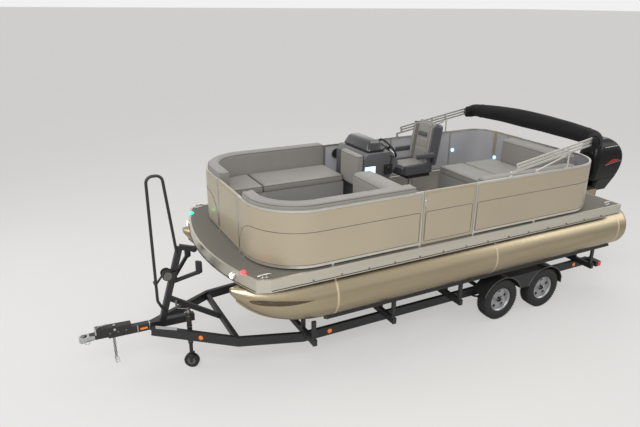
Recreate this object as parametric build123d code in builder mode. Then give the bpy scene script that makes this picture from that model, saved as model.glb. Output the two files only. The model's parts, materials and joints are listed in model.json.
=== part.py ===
from build123d import *
from math import asin, cos, radians, sin
import os

# Pontoon boat on its tandem-axle trailer, in millimetres.
# Stations: X runs forward from the deck's stern edge, Y to port, Z up from the ground.
# Every piece is moved aft by ORIGIN_X as it is written, so the model's origin lies
# under the middle of the whole length.

# Deck and its edge
BEAM = 2590.0
DECK_TOP = 1510.0
DECK_THICK = 25.0
EDGE_HEIGHT = 148.0
EDGE_WALL = 22.0
SEATED = 0.3
PIN_FIT = 0.05
DECK_BOW = 5820.0
DECK_SHOULDER = 5585.0
DECK_SIDE_END = 5440.0
CORNER_Y = BEAM / 2 - 54.0

# Pontoons
TUBE_R = 308.0
TUBE_Y = BEAM / 2 - 328.0
TUBE_STERN = -300.0
BEAM_CHANNEL = 100.0
KEEL_DEPTH = 26.0
NOSE_DROP = EDGE_HEIGHT - DECK_THICK - BEAM_CHANNEL + 1.0
KEEL_WIDTH = 14.0
TUBE_Z = DECK_TOP - DECK_THICK - BEAM_CHANNEL - TUBE_R

# Fence
FENCE_TOP = 2187.0
FENCE_Y = BEAM / 2 - 33.0
FENCE_BOW = 5480.0
FENCE_STERN = 400.0
BOW_CORNER_R = BEAM / 2 - 685.0
STERN_CORNER_R = 540.0
RAIL = 26.0
FOOT = 22.0
SKIN = 3.0
GATE_GAP = 6.0
HINGE_OFF = 8.0
HINGE_R = 7.0
HINGE_PIN_R = 4.0
HINGE_LONG = 70.0
HINGE_LUG = 10.0
HINGE_LOW = (DECK_TOP + 90.0, FENCE_TOP - 160.0)
BOW_GATE_Y = (-250.0, 450.0)
SIDE_GATE_X = (2746.0, 3529.0)
STERN_GATE_Y = (-900.0, -320.0)

# Furniture
SEAT_TOP = 1950.0
CUSHION = 105.0
BASE_WALL = 18.0
BACK_TOP = 2255.0
BACK_THICK = 150.0
LINING_GAP = 4.0
SEAT_GAP = 6.0

# Helm
CONSOLE_X = (2990.0, 3480.0)
CONSOLE_Y = (-900.0, -130.0)
CONSOLE_TOP = 2290.0
WHEEL_RIM_R = 165.0
HELM_X = 2930.0
HELM_Y = -400.0
HELM_Z = 2262.0
CHAIR_X = 2450.0
CHAIR_Y = -470.0
CHAIR_LOW = DECK_TOP + 284.0

# Sun top, folded in its boot
PIVOT_X = 2190.0
PIVOT_Z = FENCE_TOP + 50.0
FOLD_ANGLE = 9.0
TOP_TUBE = 25.0
TUBE_PITCH = 42.0
TUBE_WALL_Y = 14.0
BOOT_R = 98.0
BOOT_LEG = 1400.0
BOOT_BEND = 190.0
BOOT_REACH = BOOT_LEG + BOOT_BEND
BRACE_FOOT_X = 1750.0
BRACE_HEAD = 930.0

# Outboard motor
TILT_X = -718.0
TILT_Z = 1392.0
STEER_X = -850.0
PROP_Z = 570.0
PLATE_Z = 750.0
MOTOR_REAR = -1500.0
TILT_PIN_R = 14.0

# Trailer
TYRE_R = 303.0
TYRE_W = 180.0
RIM_R = 172.0
AXLE_X = (1893.0, 1078.0)
WHEEL_FACE_Y = BEAM / 2 - 217.0
RAIL_Y = BEAM / 2 - 475.0
RAIL_W = 50.0
RAIL_H = 115.0
RAIL_Z = 405.0
TONGUE_Z = 545.0
RAIL_BEND_X = 4850.0
RAIL_STERN = -120.0
COUPLER_TIP = 7273.0
JACK_X = 6114.0
JACK_R = 30.0
JACK_STAND_OFF = 30.0
JACK_PIVOT_Z = 455.0
JACK_TOP = 745.0
JACK_WHEEL_R = 90.0
BUNK_T = 38.0
BUNK_W = 90.0

ORIGIN_X = (COUPLER_TIP + MOTOR_REAR) / 2


def keep(part, name):
    """Move a finished piece to the model's origin, label it and write its file."""
    piece = part.moved(Location((-ORIGIN_X, 0, 0)))
    piece.label = name
    export_step(piece, f"parts/{name}.step")


def bar_plane(start, end, side=(0, 1, 0)):
    """Plane at start that looks along the bar, with its x axis nearest to side."""
    along = (Vector(*end) - Vector(*start)).normalized()
    across = Vector(*side)
    across = (across - along * across.dot(along)).normalized()
    return Plane(origin=start, x_dir=across, z_dir=along)


def run(start, end):
    """Length of a bar between two points."""
    return (Vector(*end) - Vector(*start)).length


def nose_plane(station, side, radius, drop):
    """Plane across a pontoon's nose at a station, centred on its round section."""
    centre = (station, side * TUBE_Y, TUBE_Z + TUBE_R - drop - radius)
    return Plane(origin=centre, x_dir=(0, 1, 0), z_dir=(1, 0, 0))


os.makedirs("parts", exist_ok=True)

# Pontoons
# Columns: station along X, radius of the round section there, drop of its top below the tube's top
NOSE = [
    (4630.0, TUBE_R, 0.0),
    (5100.0, 0.91 * TUBE_R, 4.0),
    (5553.0, 0.53 * TUBE_R, NOSE_DROP),
    (5775.0, 0.12 * TUBE_R, NOSE_DROP + 18.0),
]
NOSE_START = NOSE[0][0]


def pontoon(side, name):
    """Round tube with a raised nose and a keel that follows its underside."""
    middle = side * TUBE_Y
    with BuildPart() as tube:
        with BuildSketch(Plane(origin=(TUBE_STERN, middle, TUBE_Z), x_dir=(0, 1, 0), z_dir=(1, 0, 0))):
            Circle(TUBE_R)
        extrude(amount=NOSE_START - TUBE_STERN)
        fillet(tube.faces().sort_by(Axis.X)[0].edges(), radius=70)
        for station, radius, drop in NOSE:
            with BuildSketch(nose_plane(station, side, radius, drop)):
                Circle(radius)
        loft()
    with BuildPart() as keel:
        for station, radius, drop in NOSE:
            with BuildSketch(nose_plane(station, side, radius, drop)):
                Circle(radius + KEEL_DEPTH)
        loft()
        with BuildSketch(Plane(origin=(0, middle, TUBE_Z), x_dir=(0, 1, 0), z_dir=(1, 0, 0))):
            Circle(TUBE_R + KEEL_DEPTH)
        extrude(amount=NOSE_START)
        with BuildSketch(Plane.XY.offset(TUBE_Z - TUBE_R - 2 * KEEL_DEPTH)):
            with Locations(((NOSE[-1][0] - 60) / 2, middle)):
                Rectangle(NOSE[-1][0] - 60, KEEL_WIDTH)
        extrude(amount=TUBE_R + KEEL_DEPTH + 150, mode=Mode.INTERSECT)
    with BuildPart() as whole:
        add(tube.part)
        add(keel.part)
    keep(whole.part, name)


pontoon(1, "pontoon_port")
pontoon(-1, "pontoon_starboard")

# Cross channels between the pontoons and the deck
CHANNEL_STEP = 406.0
CHANNEL_COUNT = 14
CHANNEL_FIRST = 60.0
CHANNEL_FLANGE = 45.0
CHANNEL_WALL = 5.0
CHANNEL_Z = DECK_TOP - DECK_THICK - BEAM_CHANNEL
DECK_SIDE = BEAM / 2 - EDGE_WALL
with BuildPart() as channels:
    with BuildSketch(Plane.XZ.offset(-(DECK_SIDE - 1))):
        for index in range(CHANNEL_COUNT):
            x = CHANNEL_FIRST + index * CHANNEL_STEP
            with Locations((x + CHANNEL_FLANGE / 2, CHANNEL_Z + BEAM_CHANNEL / 2)):
                Rectangle(CHANNEL_FLANGE, BEAM_CHANNEL)
            with Locations((x + CHANNEL_FLANGE / 2 + CHANNEL_WALL, CHANNEL_Z + BEAM_CHANNEL / 2)):
                Rectangle(CHANNEL_FLANGE, BEAM_CHANNEL - 2 * CHANNEL_WALL, mode=Mode.SUBTRACT)
    extrude(amount=2 * (DECK_SIDE - 1))
keep(channels.part, "cross_channels")


def deck_plan(inset, low):
    """Plan of the deck: square stern, long sides and a shallow bowed front."""
    side = BEAM / 2 - inset
    with BuildSketch(Plane.XY.offset(low)) as plan:
        with BuildLine():
            bow = ThreePointArc(
                (DECK_SHOULDER - inset, -(CORNER_Y - inset)),
                (DECK_BOW - inset, 0),
                (DECK_SHOULDER - inset, CORNER_Y - inset),
            )
            Polyline(bow @ 1, (DECK_SIDE_END - inset, side), (inset, side))
            Line((inset, side), (inset, -side))
            Polyline((inset, -side), (DECK_SIDE_END - inset, -side), bow @ 0)
        make_face()
    return plan.sketch


with BuildPart() as deck:
    extrude(deck_plan(EDGE_WALL, DECK_TOP - DECK_THICK), amount=DECK_THICK)
keep(deck.part, "deck")

with BuildPart() as edge:
    extrude(deck_plan(0, DECK_TOP - EDGE_HEIGHT), amount=EDGE_HEIGHT)
    extrude(deck_plan(EDGE_WALL, DECK_TOP - EDGE_HEIGHT), amount=EDGE_HEIGHT, mode=Mode.SUBTRACT)
    with BuildSketch(Plane.XY.offset(DECK_TOP - EDGE_HEIGHT)):
        Rectangle(2 * EDGE_WALL, BEAM)
    extrude(amount=EDGE_HEIGHT - DECK_THICK - BEAM_CHANNEL + SEATED, mode=Mode.SUBTRACT)
keep(edge.part, "deck_edge")

# Fence frames and skins
FRAME_BOTTOM = DECK_TOP + FOOT
MID_Y = FENCE_Y - RAIL / 2
BOW_X = FENCE_BOW - RAIL / 2
STERN_X = FENCE_STERN + RAIL / 2
PORT_BOW = ([(BOW_X, BOW_GATE_Y[1] + RAIL / 2), (BOW_X, MID_Y), (SIDE_GATE_X[1] + RAIL / 2, MID_Y)], [BOW_CORNER_R])
PORT_AFT = (
    [(SIDE_GATE_X[0] - RAIL / 2, MID_Y), (STERN_X, MID_Y), (STERN_X, STERN_GATE_Y[1] + RAIL / 2)],
    [STERN_CORNER_R],
)
STARBOARD = (
    [
        (BOW_X, BOW_GATE_Y[0] - RAIL / 2),
        (BOW_X, -MID_Y),
        (STERN_X, -MID_Y),
        (STERN_X, STERN_GATE_Y[0] - RAIL / 2),
    ],
    [BOW_CORNER_R, FENCE_Y + STERN_GATE_Y[0] - 40],
)
# Columns: x, y of the posts between the ends
PORT_POSTS = [(4700.0, MID_Y), (BOW_X, BOW_GATE_Y[1] + 150), (1700.0, MID_Y), (STERN_X, 300.0)]
STARBOARD_POSTS = [(4700.0, -MID_Y), (3500.0, -MID_Y), (2300.0, -MID_Y), (1100.0, -MID_Y)]


def fence_plan(run_of_fence, width, low):
    """Band of one width along a fence's centre line, drawn at a height."""
    points, radii = run_of_fence
    with BuildSketch(Plane.XY.offset(low)) as plan:
        with BuildLine():
            FilletPolyline(*points, radius=radii)
        trace(line_width=width)
    return plan.sketch


def post_plan(places, low):
    """Square posts at their places, drawn at a height."""
    with BuildSketch(Plane.XY.offset(low)) as plan:
        with Locations(*places):
            Rectangle(RAIL, RAIL)
    return plan.sketch


# Columns: gate, inner face corner of its post (x, y), way from leaf to post, way out through the fence
GATE_HINGES = [
    ("bow_gate", (BOW_X - RAIL / 2, BOW_GATE_Y[1]), (0, 1), (1, 0)),
    ("side_gate", (SIDE_GATE_X[0], MID_Y - RAIL / 2), (-1, 0), (0, 1)),
    ("stern_gate", (STERN_X + RAIL / 2, STERN_GATE_Y[0]), (0, -1), (-1, 0)),
]


def hinge_point(corner, post_way, out_way, along, off):
    """Point in plan, along towards the post from the gap's middle and off outward from the pin."""
    x = corner[0] + post_way[0] * (along - GATE_GAP / 2) + out_way[0] * (off - HINGE_OFF)
    y = corner[1] + post_way[1] * (along - GATE_GAP / 2) + out_way[1] * (off - HINGE_OFF)
    return (x, y)


def hinge_block(row, along_range, off_range, low, height):
    """Upright block in plan beside one gate's hinge pin."""
    corner, post_way, out_way = row[1:]
    with BuildSketch(Plane.XY.offset(low)) as plan:
        with BuildLine():
            Polyline(
                *[hinge_point(corner, post_way, out_way, a, f) for a in along_range for f in off_range][:2],
                *[hinge_point(corner, post_way, out_way, a, f) for a in along_range for f in off_range][:1:-1],
                hinge_point(corner, post_way, out_way, along_range[0], off_range[0]),
            )
        make_face()
    return extrude(plan.sketch, amount=height)


def hinge_round(row, radius, low, height):
    """Upright round bar on one gate's hinge line."""
    with BuildSketch(Plane.XY.offset(low)) as plan:
        with Locations(hinge_point(*row[1:], 0, 0)):
            Circle(radius)
    return extrude(plan.sketch, amount=height)


def hinge_pins(row):
    """Pins and lugs that stand on the fence post for one gate."""
    shapes = []
    for low in HINGE_LOW:
        shapes.append(hinge_round(row, HINGE_PIN_R, low - HINGE_LUG, HINGE_LONG + 2 * HINGE_LUG))
        for end in (low - HINGE_LUG, low + HINGE_LONG):
            shapes.append(hinge_round(row, HINGE_R, end, HINGE_LUG))
            shapes.append(hinge_block(row, (0, GATE_GAP), (-HINGE_R, HINGE_OFF - 2), end, HINGE_LUG))
            shapes.append(hinge_block(row, (GATE_GAP / 2 + 1, 26), (-HINGE_R, HINGE_OFF + 1), end, HINGE_LUG))
    return shapes


def fence(runs, posts, frame_name, skin_name, gates):
    """Two rails and posts as one frame, and the sheet that hangs between them."""
    places = posts + [end for points, radii in runs for end in (points[0], points[-1])]
    with BuildPart() as frame:
        for one in runs:
            extrude(fence_plan(one, RAIL, FRAME_BOTTOM), amount=RAIL)
            extrude(fence_plan(one, RAIL, FENCE_TOP - RAIL), amount=RAIL)
        extrude(post_plan(places, DECK_TOP), amount=FENCE_TOP - DECK_TOP)
        for row in GATE_HINGES:
            if row[0] in gates:
                add(hinge_pins(row))
    with BuildPart() as skin:
        for one in runs:
            extrude(fence_plan(one, SKIN, FRAME_BOTTOM + RAIL), amount=FENCE_TOP - FRAME_BOTTOM - 2 * RAIL)
        extrude(post_plan(places, DECK_TOP), amount=FENCE_TOP - DECK_TOP, mode=Mode.SUBTRACT)
    keep(frame.part, frame_name)
    keep(skin.part, skin_name)


fence([PORT_BOW, PORT_AFT], PORT_POSTS, "fence_frame_port", "fence_skin_port", ("bow_gate", "side_gate"))
fence([STARBOARD], STARBOARD_POSTS, "fence_frame_starboard", "fence_skin_starboard", ("stern_gate",))

# Gates
GATE_BOTTOM = DECK_TOP + FOOT
GATE_HEIGHT = FENCE_TOP - GATE_BOTTOM


def gate(name, middle, across, width):
    """Framed gate leaf with a skin, hung between two fence posts."""
    leaf = Plane(origin=(middle[0], middle[1], GATE_BOTTOM + GATE_HEIGHT / 2), x_dir=across, z_dir=(0, 0, 1))
    upright = Plane(origin=leaf.origin, x_dir=across, z_dir=Vector(*across).cross(Vector(0, 0, 1)))
    with BuildPart() as whole:
        with BuildSketch(upright):
            Rectangle(width, GATE_HEIGHT)
            Rectangle(width - 2 * RAIL, GATE_HEIGHT - 2 * RAIL, mode=Mode.SUBTRACT)
        extrude(amount=RAIL / 2, both=True)
        with BuildSketch(upright):
            Rectangle(width - RAIL, GATE_HEIGHT - RAIL)
        extrude(amount=SKIN / 2, both=True)
        with BuildSketch(upright):
            Rectangle(RAIL, GATE_HEIGHT)
        extrude(amount=RAIL / 2, both=True)
        row = [one for one in GATE_HINGES if one[0] == name][0]
        for low in HINGE_LOW:
            add(hinge_round(row, HINGE_R, low + SEATED, HINGE_LONG - 2 * SEATED))
            straps = (-44, -HINGE_R / 2)
            add(hinge_block(row, straps, (HINGE_PIN_R, HINGE_OFF), low + SEATED, HINGE_LONG - 2 * SEATED))
            add(hinge_round(row, HINGE_PIN_R + PIN_FIT, low, HINGE_LONG), mode=Mode.SUBTRACT)
    keep(whole.part, name)


gate(
    "bow_gate",
    (BOW_X, (BOW_GATE_Y[0] + BOW_GATE_Y[1]) / 2),
    (0, 1, 0),
    BOW_GATE_Y[1] - BOW_GATE_Y[0] - 2 * GATE_GAP,
)
gate(
    "side_gate",
    ((SIDE_GATE_X[0] + SIDE_GATE_X[1]) / 2, MID_Y),
    (1, 0, 0),
    SIDE_GATE_X[1] - SIDE_GATE_X[0] - 2 * GATE_GAP,
)
gate(
    "stern_gate",
    (STERN_X, (STERN_GATE_Y[0] + STERN_GATE_Y[1]) / 2),
    (0, 1, 0),
    STERN_GATE_Y[1] - STERN_GATE_Y[0] - 2 * GATE_GAP,
)

# Lounges
WALL_Y = FENCE_Y - RAIL - LINING_GAP
BASE_TOP = SEAT_TOP - CUSHION - SEATED
BACK_IN = WALL_Y - BACK_THICK


def seat_plan(x_range, y_range, low, corner=0.0, side=1):
    """Plan of a seat block whose forward outboard corner may be rounded."""
    inboard, outboard = sorted(y_range, key=lambda y: y * side)
    with BuildSketch(Plane.XY.offset(low)) as plan:
        with BuildLine():
            Polyline((x_range[1], inboard), (x_range[0], inboard), (x_range[0], outboard))
            if corner:
                bend = (x_range[1], outboard)
                FilletPolyline((x_range[0], outboard), bend, (x_range[1], inboard), radius=corner)
            else:
                Polyline((x_range[0], outboard), (x_range[1], outboard), (x_range[1], inboard))
        make_face()
    return plan.sketch


BACK_BOW = FENCE_BOW - RAIL - LINING_GAP - BACK_THICK
PORT_BOW_X = (3930.0, BACK_BOW - SEAT_GAP)
STARBOARD_BOW_X = (3600.0, BACK_BOW - SEAT_GAP)
BOW_SEAT_Y = (470.0, BACK_IN - SEAT_GAP)
LID_FRONT_X = 4790.0
STERN_BASE_X = (790.0, 2100.0)
STERN_BASE_Y = (-250.0, BACK_IN - SEAT_GAP)
STERN_LID_X = (1070.0, 1650.0)


def lounge_base(name, x_range, y_range, corner, side, hollow_x):
    """Moulded seat base, open at the top under the lid."""
    with BuildPart() as base:
        extrude(seat_plan(x_range, y_range, DECK_TOP, corner, side), amount=BASE_TOP - DECK_TOP)
        with BuildSketch(Plane.XY.offset(DECK_TOP + BASE_WALL)):
            width = y_range[1] - y_range[0] - 2 * BASE_WALL
            with Locations(((hollow_x[0] + hollow_x[1]) / 2, (y_range[0] + y_range[1]) / 2)):
                Rectangle(hollow_x[1] - hollow_x[0], width)
        extrude(amount=BASE_TOP - DECK_TOP, mode=Mode.SUBTRACT)
    keep(base.part, name)


def cushion(name, blocks):
    """Plain seat or back cushions, written as one node."""
    with BuildPart() as soft:
        for x_range, y_range, low, high, corner, side in blocks:
            extrude(seat_plan(x_range, y_range, low, corner, side), amount=high - low)
    keep(soft.part, name)


SEAT_CORNER_R = BOW_CORNER_R - RAIL - BACK_THICK - SEAT_GAP
port_seat = BOW_SEAT_Y
starboard_seat = (-BOW_SEAT_Y[1], -BOW_SEAT_Y[0])
bow_hollow = (PORT_BOW_X[0] + BASE_WALL, LID_FRONT_X - BASE_WALL)
starboard_hollow = (STARBOARD_BOW_X[0] + BASE_WALL, LID_FRONT_X - BASE_WALL)
lounge_base("lounge_base_port", PORT_BOW_X, port_seat, SEAT_CORNER_R, 1, bow_hollow)
lounge_base("lounge_base_starboard", STARBOARD_BOW_X, starboard_seat, SEAT_CORNER_R, -1, starboard_hollow)
stern_hollow = (STERN_LID_X[0] + BASE_WALL, STERN_LID_X[1] - BASE_WALL)
lounge_base("lounge_base_stern", STERN_BASE_X, STERN_BASE_Y, 0, 1, stern_hollow)

CUSHION_LOW = SEAT_TOP - CUSHION
cushion("seat_lid_port", [((PORT_BOW_X[0], LID_FRONT_X), port_seat, CUSHION_LOW, SEAT_TOP, 0, 1)])
cushion("seat_lid_starboard", [((STARBOARD_BOW_X[0], LID_FRONT_X), starboard_seat, CUSHION_LOW, SEAT_TOP, 0, -1)])
cushion("seat_lid_stern", [(STERN_LID_X, (STERN_BASE_Y[0], STERN_BASE_Y[1]), CUSHION_LOW, SEAT_TOP, 0, 1)])
front_x = LID_FRONT_X + 2 * SEAT_GAP
stern_front_x = STERN_LID_X[1] + 2 * SEAT_GAP
cushion(
    "seat_cushions_fixed",
    [
        ((front_x, PORT_BOW_X[1]), port_seat, BASE_TOP, SEAT_TOP, SEAT_CORNER_R, 1),
        ((front_x, STARBOARD_BOW_X[1]), starboard_seat, BASE_TOP, SEAT_TOP, SEAT_CORNER_R, -1),
        ((stern_front_x, STERN_BASE_X[1]), STERN_BASE_Y, BASE_TOP, SEAT_TOP, 0, 1),
    ],
)


def backrest(name, side, aft_x, corner_end_y, chaise=None):
    """Backrest that follows the fence round its bow corner."""
    inner = side * (BACK_IN)
    outer = side * WALL_Y
    bow_in = BACK_BOW
    bow_out = bow_in + BACK_THICK
    radius = BOW_CORNER_R - RAIL
    with BuildPart() as back:
        with BuildSketch(Plane.XY.offset(DECK_TOP + 60)):
            with BuildLine():
                FilletPolyline((aft_x, outer), (bow_out, outer), (bow_out, corner_end_y), radius=radius)
                Line((bow_out, corner_end_y), (bow_in, corner_end_y))
                FilletPolyline(
                    (bow_in, corner_end_y), (bow_in, inner), (aft_x, inner), radius=radius - BACK_THICK
                )
                Line((aft_x, inner), (aft_x, outer))
            make_face()
        extrude(amount=BACK_TOP - DECK_TOP - 60)
        if chaise:
            extrude(seat_plan(*chaise, DECK_TOP), amount=CHAISE_TOP - DECK_TOP)
    keep(back.part, name)


CHAISE_TOP = 2230.0
chaise_block = ((3640.0, PORT_BOW_X[0] - SEAT_GAP), (300.0, BACK_IN - SEAT_GAP))
backrest("backrest_port", 1, 3600.0, BOW_GATE_Y[1] + 45, chaise_block)
backrest("backrest_starboard", -1, STARBOARD_BOW_X[0], BOW_GATE_Y[0] - 45)
cushion(
    "backrest_stern",
    [
        ((STERN_LID_X[0] - 240, STERN_LID_X[0] - SEAT_GAP), (-110.0, BACK_IN - SEAT_GAP), BASE_TOP, 2300.0, 0, 1),
        ((1000.0, 2600.0), (BACK_IN, WALL_Y), DECK_TOP, 2205.0, 0, 1),
    ],
)
# Helm console, screen and wheel
HELM_TILT = radians(35.0)
HELM_REACH = 75.0
helm_out = Vector(-cos(HELM_TILT), 0, sin(HELM_TILT))
helm_up = Vector(sin(HELM_TILT), 0, cos(HELM_TILT))
helm_foot = Vector(HELM_X, HELM_Y, HELM_Z) - helm_out * HELM_REACH
dash_low = helm_foot - helm_up * 110
dash_high = helm_foot + helm_up * 60
with BuildPart() as console:
    with BuildSketch(Plane.XZ.offset(-CONSOLE_Y[1])):
        with BuildLine():
            Polyline(
                (CONSOLE_X[0] + 90, DECK_TOP),
                (CONSOLE_X[0] + 90, 1900),
                (dash_low.X + 20, dash_low.Z - 40),
                (dash_low.X, dash_low.Z),
                (dash_high.X, dash_high.Z),
                (dash_high.X + 30, CONSOLE_TOP),
                (CONSOLE_X[1] - 60, CONSOLE_TOP),
                (CONSOLE_X[1], CONSOLE_TOP - 70),
                (CONSOLE_X[1], DECK_TOP),
                (CONSOLE_X[0] + 90, DECK_TOP),
            )
        make_face()
    extrude(amount=CONSOLE_Y[1] - CONSOLE_Y[0])
keep(console.part, "console")

with BuildPart() as screen:
    with BuildSketch(Plane.XY.offset(CONSOLE_TOP + 0.1)):
        with Locations((CONSOLE_X[1] - 225, (CONSOLE_Y[0] + CONSOLE_Y[1]) / 2)):
            Rectangle(310, CONSOLE_Y[1] - CONSOLE_Y[0] - 60)
    extrude(amount=150, taper=24)
keep(screen.part, "windscreen_hood")

helm_plane = Plane(origin=(HELM_X, HELM_Y, HELM_Z), x_dir=(0, 1, 0), z_dir=helm_out)
with BuildPart() as helm:
    with Locations(helm_plane):
        Torus(WHEEL_RIM_R, 14)
    with BuildSketch(helm_plane.offset(SEATED - HELM_REACH)):
        Circle(38)
    extrude(amount=HELM_REACH + 12)
    with BuildSketch(helm_plane.offset(-6)):
        with PolarLocations(WHEEL_RIM_R / 2, 3, start_angle=90):
            Rectangle(WHEEL_RIM_R, 26)
    extrude(amount=10)
keep(helm.part, "steering_wheel")

# Helm chair
with BuildPart() as pedestal:
    with BuildSketch(Plane.XY.offset(DECK_TOP)):
        with Locations((CHAIR_X, CHAIR_Y)):
            Circle(150)
    extrude(amount=14)
    with BuildSketch(Plane.XY.offset(DECK_TOP + 14)):
        with Locations((CHAIR_X, CHAIR_Y)):
            Circle(38)
    extrude(amount=CHAIR_LOW - DECK_TOP - 14 - SEATED)
keep(pedestal.part, "chair_pedestal")

with BuildPart() as chair:
    with BuildSketch(Plane.XZ.offset(-(CHAIR_Y + 245))):
        with BuildLine():
            Polyline(
                (CHAIR_X - 120, CHAIR_LOW),
                (CHAIR_X + 120, CHAIR_LOW),
                (CHAIR_X + 290, CHAIR_LOW + 70),
                (CHAIR_X + 270, CHAIR_LOW + 210),
                (CHAIR_X - 90, CHAIR_LOW + 190),
                (CHAIR_X - 170, CHAIR_LOW + 780),
                (CHAIR_X - 260, CHAIR_LOW + 830),
                (CHAIR_X - 320, CHAIR_LOW + 780),
                (CHAIR_X - 230, CHAIR_LOW + 60),
                (CHAIR_X - 120, CHAIR_LOW),
            )
        make_face()
    extrude(amount=490)
    for arm in (-1, 1):
        with BuildSketch(Plane.XY.offset(CHAIR_LOW + 320)):
            with Locations((CHAIR_X - 40, CHAIR_Y + arm * 265)):
                Rectangle(320, 50)
        extrude(amount=55)
keep(chair.part, "helm_chair")

# Outboard motor
POD_HALF = 350.0
POD_TOP = 1375.0
with BuildPart() as pod:
    with BuildSketch(Plane.XZ.offset(-POD_HALF)):
        with BuildLine():
            Polyline(
                (-700, POD_TOP),
                (-1, POD_TOP),
                (-1, POD_TOP - 280),
                (-640, POD_TOP - 430),
                (-700, POD_TOP),
            )
        make_face()
    extrude(amount=2 * POD_HALF)
    with BuildSketch(Plane.XZ.offset(-200)):
        with BuildLine():
            pod_lid = CHANNEL_Z - SEATED
            Polyline((-1, pod_lid), (1500, pod_lid), (1500, pod_lid - 60), (-1, POD_TOP - 280), (-1, pod_lid))
        make_face()
    extrude(amount=400)
keep(pod.part, "motor_pod")

CLAMP_Y = 105.0
CLAMP_WALL = 9.0
TRANSOM_X = -700.2
with BuildPart() as clamp:
    for side in (-1, 1):
        with BuildSketch(Plane.XZ.offset(-side * CLAMP_Y)):
            with BuildLine():
                Polyline(
                    (TRANSOM_X, POD_TOP + 0.2),
                    (TRANSOM_X, POD_TOP - 300),
                    (TRANSOM_X - 50, POD_TOP - 300),
                    (TRANSOM_X - 70, TILT_Z - 60),
                    (TILT_X - 26, TILT_Z + 14),
                    (TILT_X + 10, TILT_Z + 22),
                    (TRANSOM_X + 50, POD_TOP + 0.2),
                    (TRANSOM_X, POD_TOP + 0.2),
                )
            make_face()
            with Locations((TILT_X, TILT_Z)):
                Circle(TILT_PIN_R, mode=Mode.SUBTRACT)
        extrude(amount=CLAMP_WALL / 2, both=True)
keep(clamp.part, "clamp_bracket")

STEER_R = 38.0
STEER_SHAFT_R = 16.0
PROP_SHAFT_R = 10.0
STEER_LOW = 1150.0
STEER_TOP = 1400.0
with BuildPart() as swivel:
    with BuildSketch(Plane.XZ.offset(-(CLAMP_Y + CLAMP_WALL))):
        with Locations((TILT_X, TILT_Z)):
            Circle(TILT_PIN_R - PIN_FIT)
    extrude(amount=2 * (CLAMP_Y + CLAMP_WALL))
    with BuildSketch(Plane.XZ.offset(-(CLAMP_Y - CLAMP_WALL))):
        with Locations((TILT_X, TILT_Z)):
            Circle(18)
    extrude(amount=2 * (CLAMP_Y - CLAMP_WALL))
    with BuildSketch(Plane.XY.offset(STEER_LOW)):
        with Locations((STEER_X, 0)):
            Circle(STEER_R)
    extrude(amount=STEER_TOP - STEER_LOW)
    with BuildSketch(Plane.XZ.offset(-60)):
        with BuildLine():
            Polyline(
                (TILT_X, TILT_Z + 10),
                (TILT_X, TILT_Z - 16),
                (STEER_X + 20, STEER_LOW + 40),
                (STEER_X, STEER_LOW + 40),
                (STEER_X, STEER_TOP - 4),
                (TILT_X, TILT_Z + 10),
            )
        make_face()
    extrude(amount=120)
    with BuildSketch(Plane.XY.offset(STEER_LOW)):
        with Locations((STEER_X, 0)):
            Circle(STEER_SHAFT_R + PIN_FIT)
    extrude(amount=STEER_TOP - STEER_LOW, mode=Mode.SUBTRACT)
keep(swivel.part, "swivel_bracket")


def rounded_section(height, front, aft, half_width, corner):
    """Rounded rectangle across a housing at a height, from its front to its aft end."""
    with BuildSketch(Plane.XY.offset(height)) as section:
        with Locations(((front + aft) / 2, 0)):
            RectangleRounded(front - aft, 2 * half_width, corner)
    return section.sketch


# Columns: height, front x, aft x, half width, corner radius
TRAY = [(1225.0, -897.0, -1316.0, 95.0, 70.0), (1437.0, -897.0, -1425.0, 160.0, 90.0)]
COWL = [
    (1448.0, -780.0, -1425.0, 165.0, 90.0),
    (1640.0, -765.0, MOTOR_REAR, 195.0, 110.0),
    (1850.0, -775.0, MOTOR_REAR + 10, 195.0, 115.0),
    (2020.0, -830.0, -1360.0, 165.0, 110.0),
    (2115.0, -930.0, -1180.0, 95.0, 80.0),
]
PAN_LOW = TRAY[-1][0] - 1.0
COWL_WALL = 6.0
with BuildPart() as leg:
    loft([rounded_section(*row) for row in TRAY])
    extrude(rounded_section(PAN_LOW, -785, -1415, 156, 84), amount=COWL[0][0] - PAN_LOW - 0.3)
    loft([rounded_section(PLATE_Z, -905, -1110, 34, 30), rounded_section(TRAY[0][0] + 5, -897, -1120, 75, 40)])
    extrude(rounded_section(STEER_LOW - 32, STEER_X + 40, -1000, 40, 38), amount=30)
    extrude(rounded_section(STEER_TOP + 4, STEER_X + 40, -1000, 40, 38), amount=PAN_LOW - STEER_TOP)
    extrude(rounded_section(PLATE_Z - 12, -905, -1330, 105, 60), amount=14)
    extrude(rounded_section(PROP_Z, -930, -1120, 22, 20), amount=PLATE_Z - PROP_Z)
    with BuildSketch(Plane.XY.offset(PROP_Z)):
        with BuildLine():
            Polyline((-1185, 0), (-1185, 46), (-1050, 56), (-895, 44), (-845, 26), (-830, 0), (-1185, 0))
        make_face()
    revolve(axis=Axis((0, 0, PROP_Z), (1, 0, 0)))
    with BuildSketch(Plane.XZ):
        with BuildLine():
            Polyline(
                (-930, PROP_Z - 30),
                (-1000, PROP_Z - 190),
                (-1090, PROP_Z - 200),
                (-1102, PROP_Z - 30),
                (-930, PROP_Z - 30),
            )
        make_face()
    extrude(amount=8, both=True)
    with BuildSketch(Plane.XY.offset(STEER_LOW - 10)):
        with Locations((STEER_X, 0)):
            Circle(STEER_SHAFT_R)
    extrude(amount=STEER_TOP - STEER_LOW + 20)
    with BuildSketch(Plane(origin=(-1180, 0, PROP_Z), x_dir=(0, 1, 0), z_dir=(-1, 0, 0))):
        Circle(PROP_SHAFT_R)
    extrude(amount=60)
keep(leg.part, "motor_leg")


def inset_rows(rows, wall):
    """The same sections, drawn in by one wall thickness."""
    return [(z, front - wall, aft + wall, half - wall, corner - wall) for z, front, aft, half, corner in rows]


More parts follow.
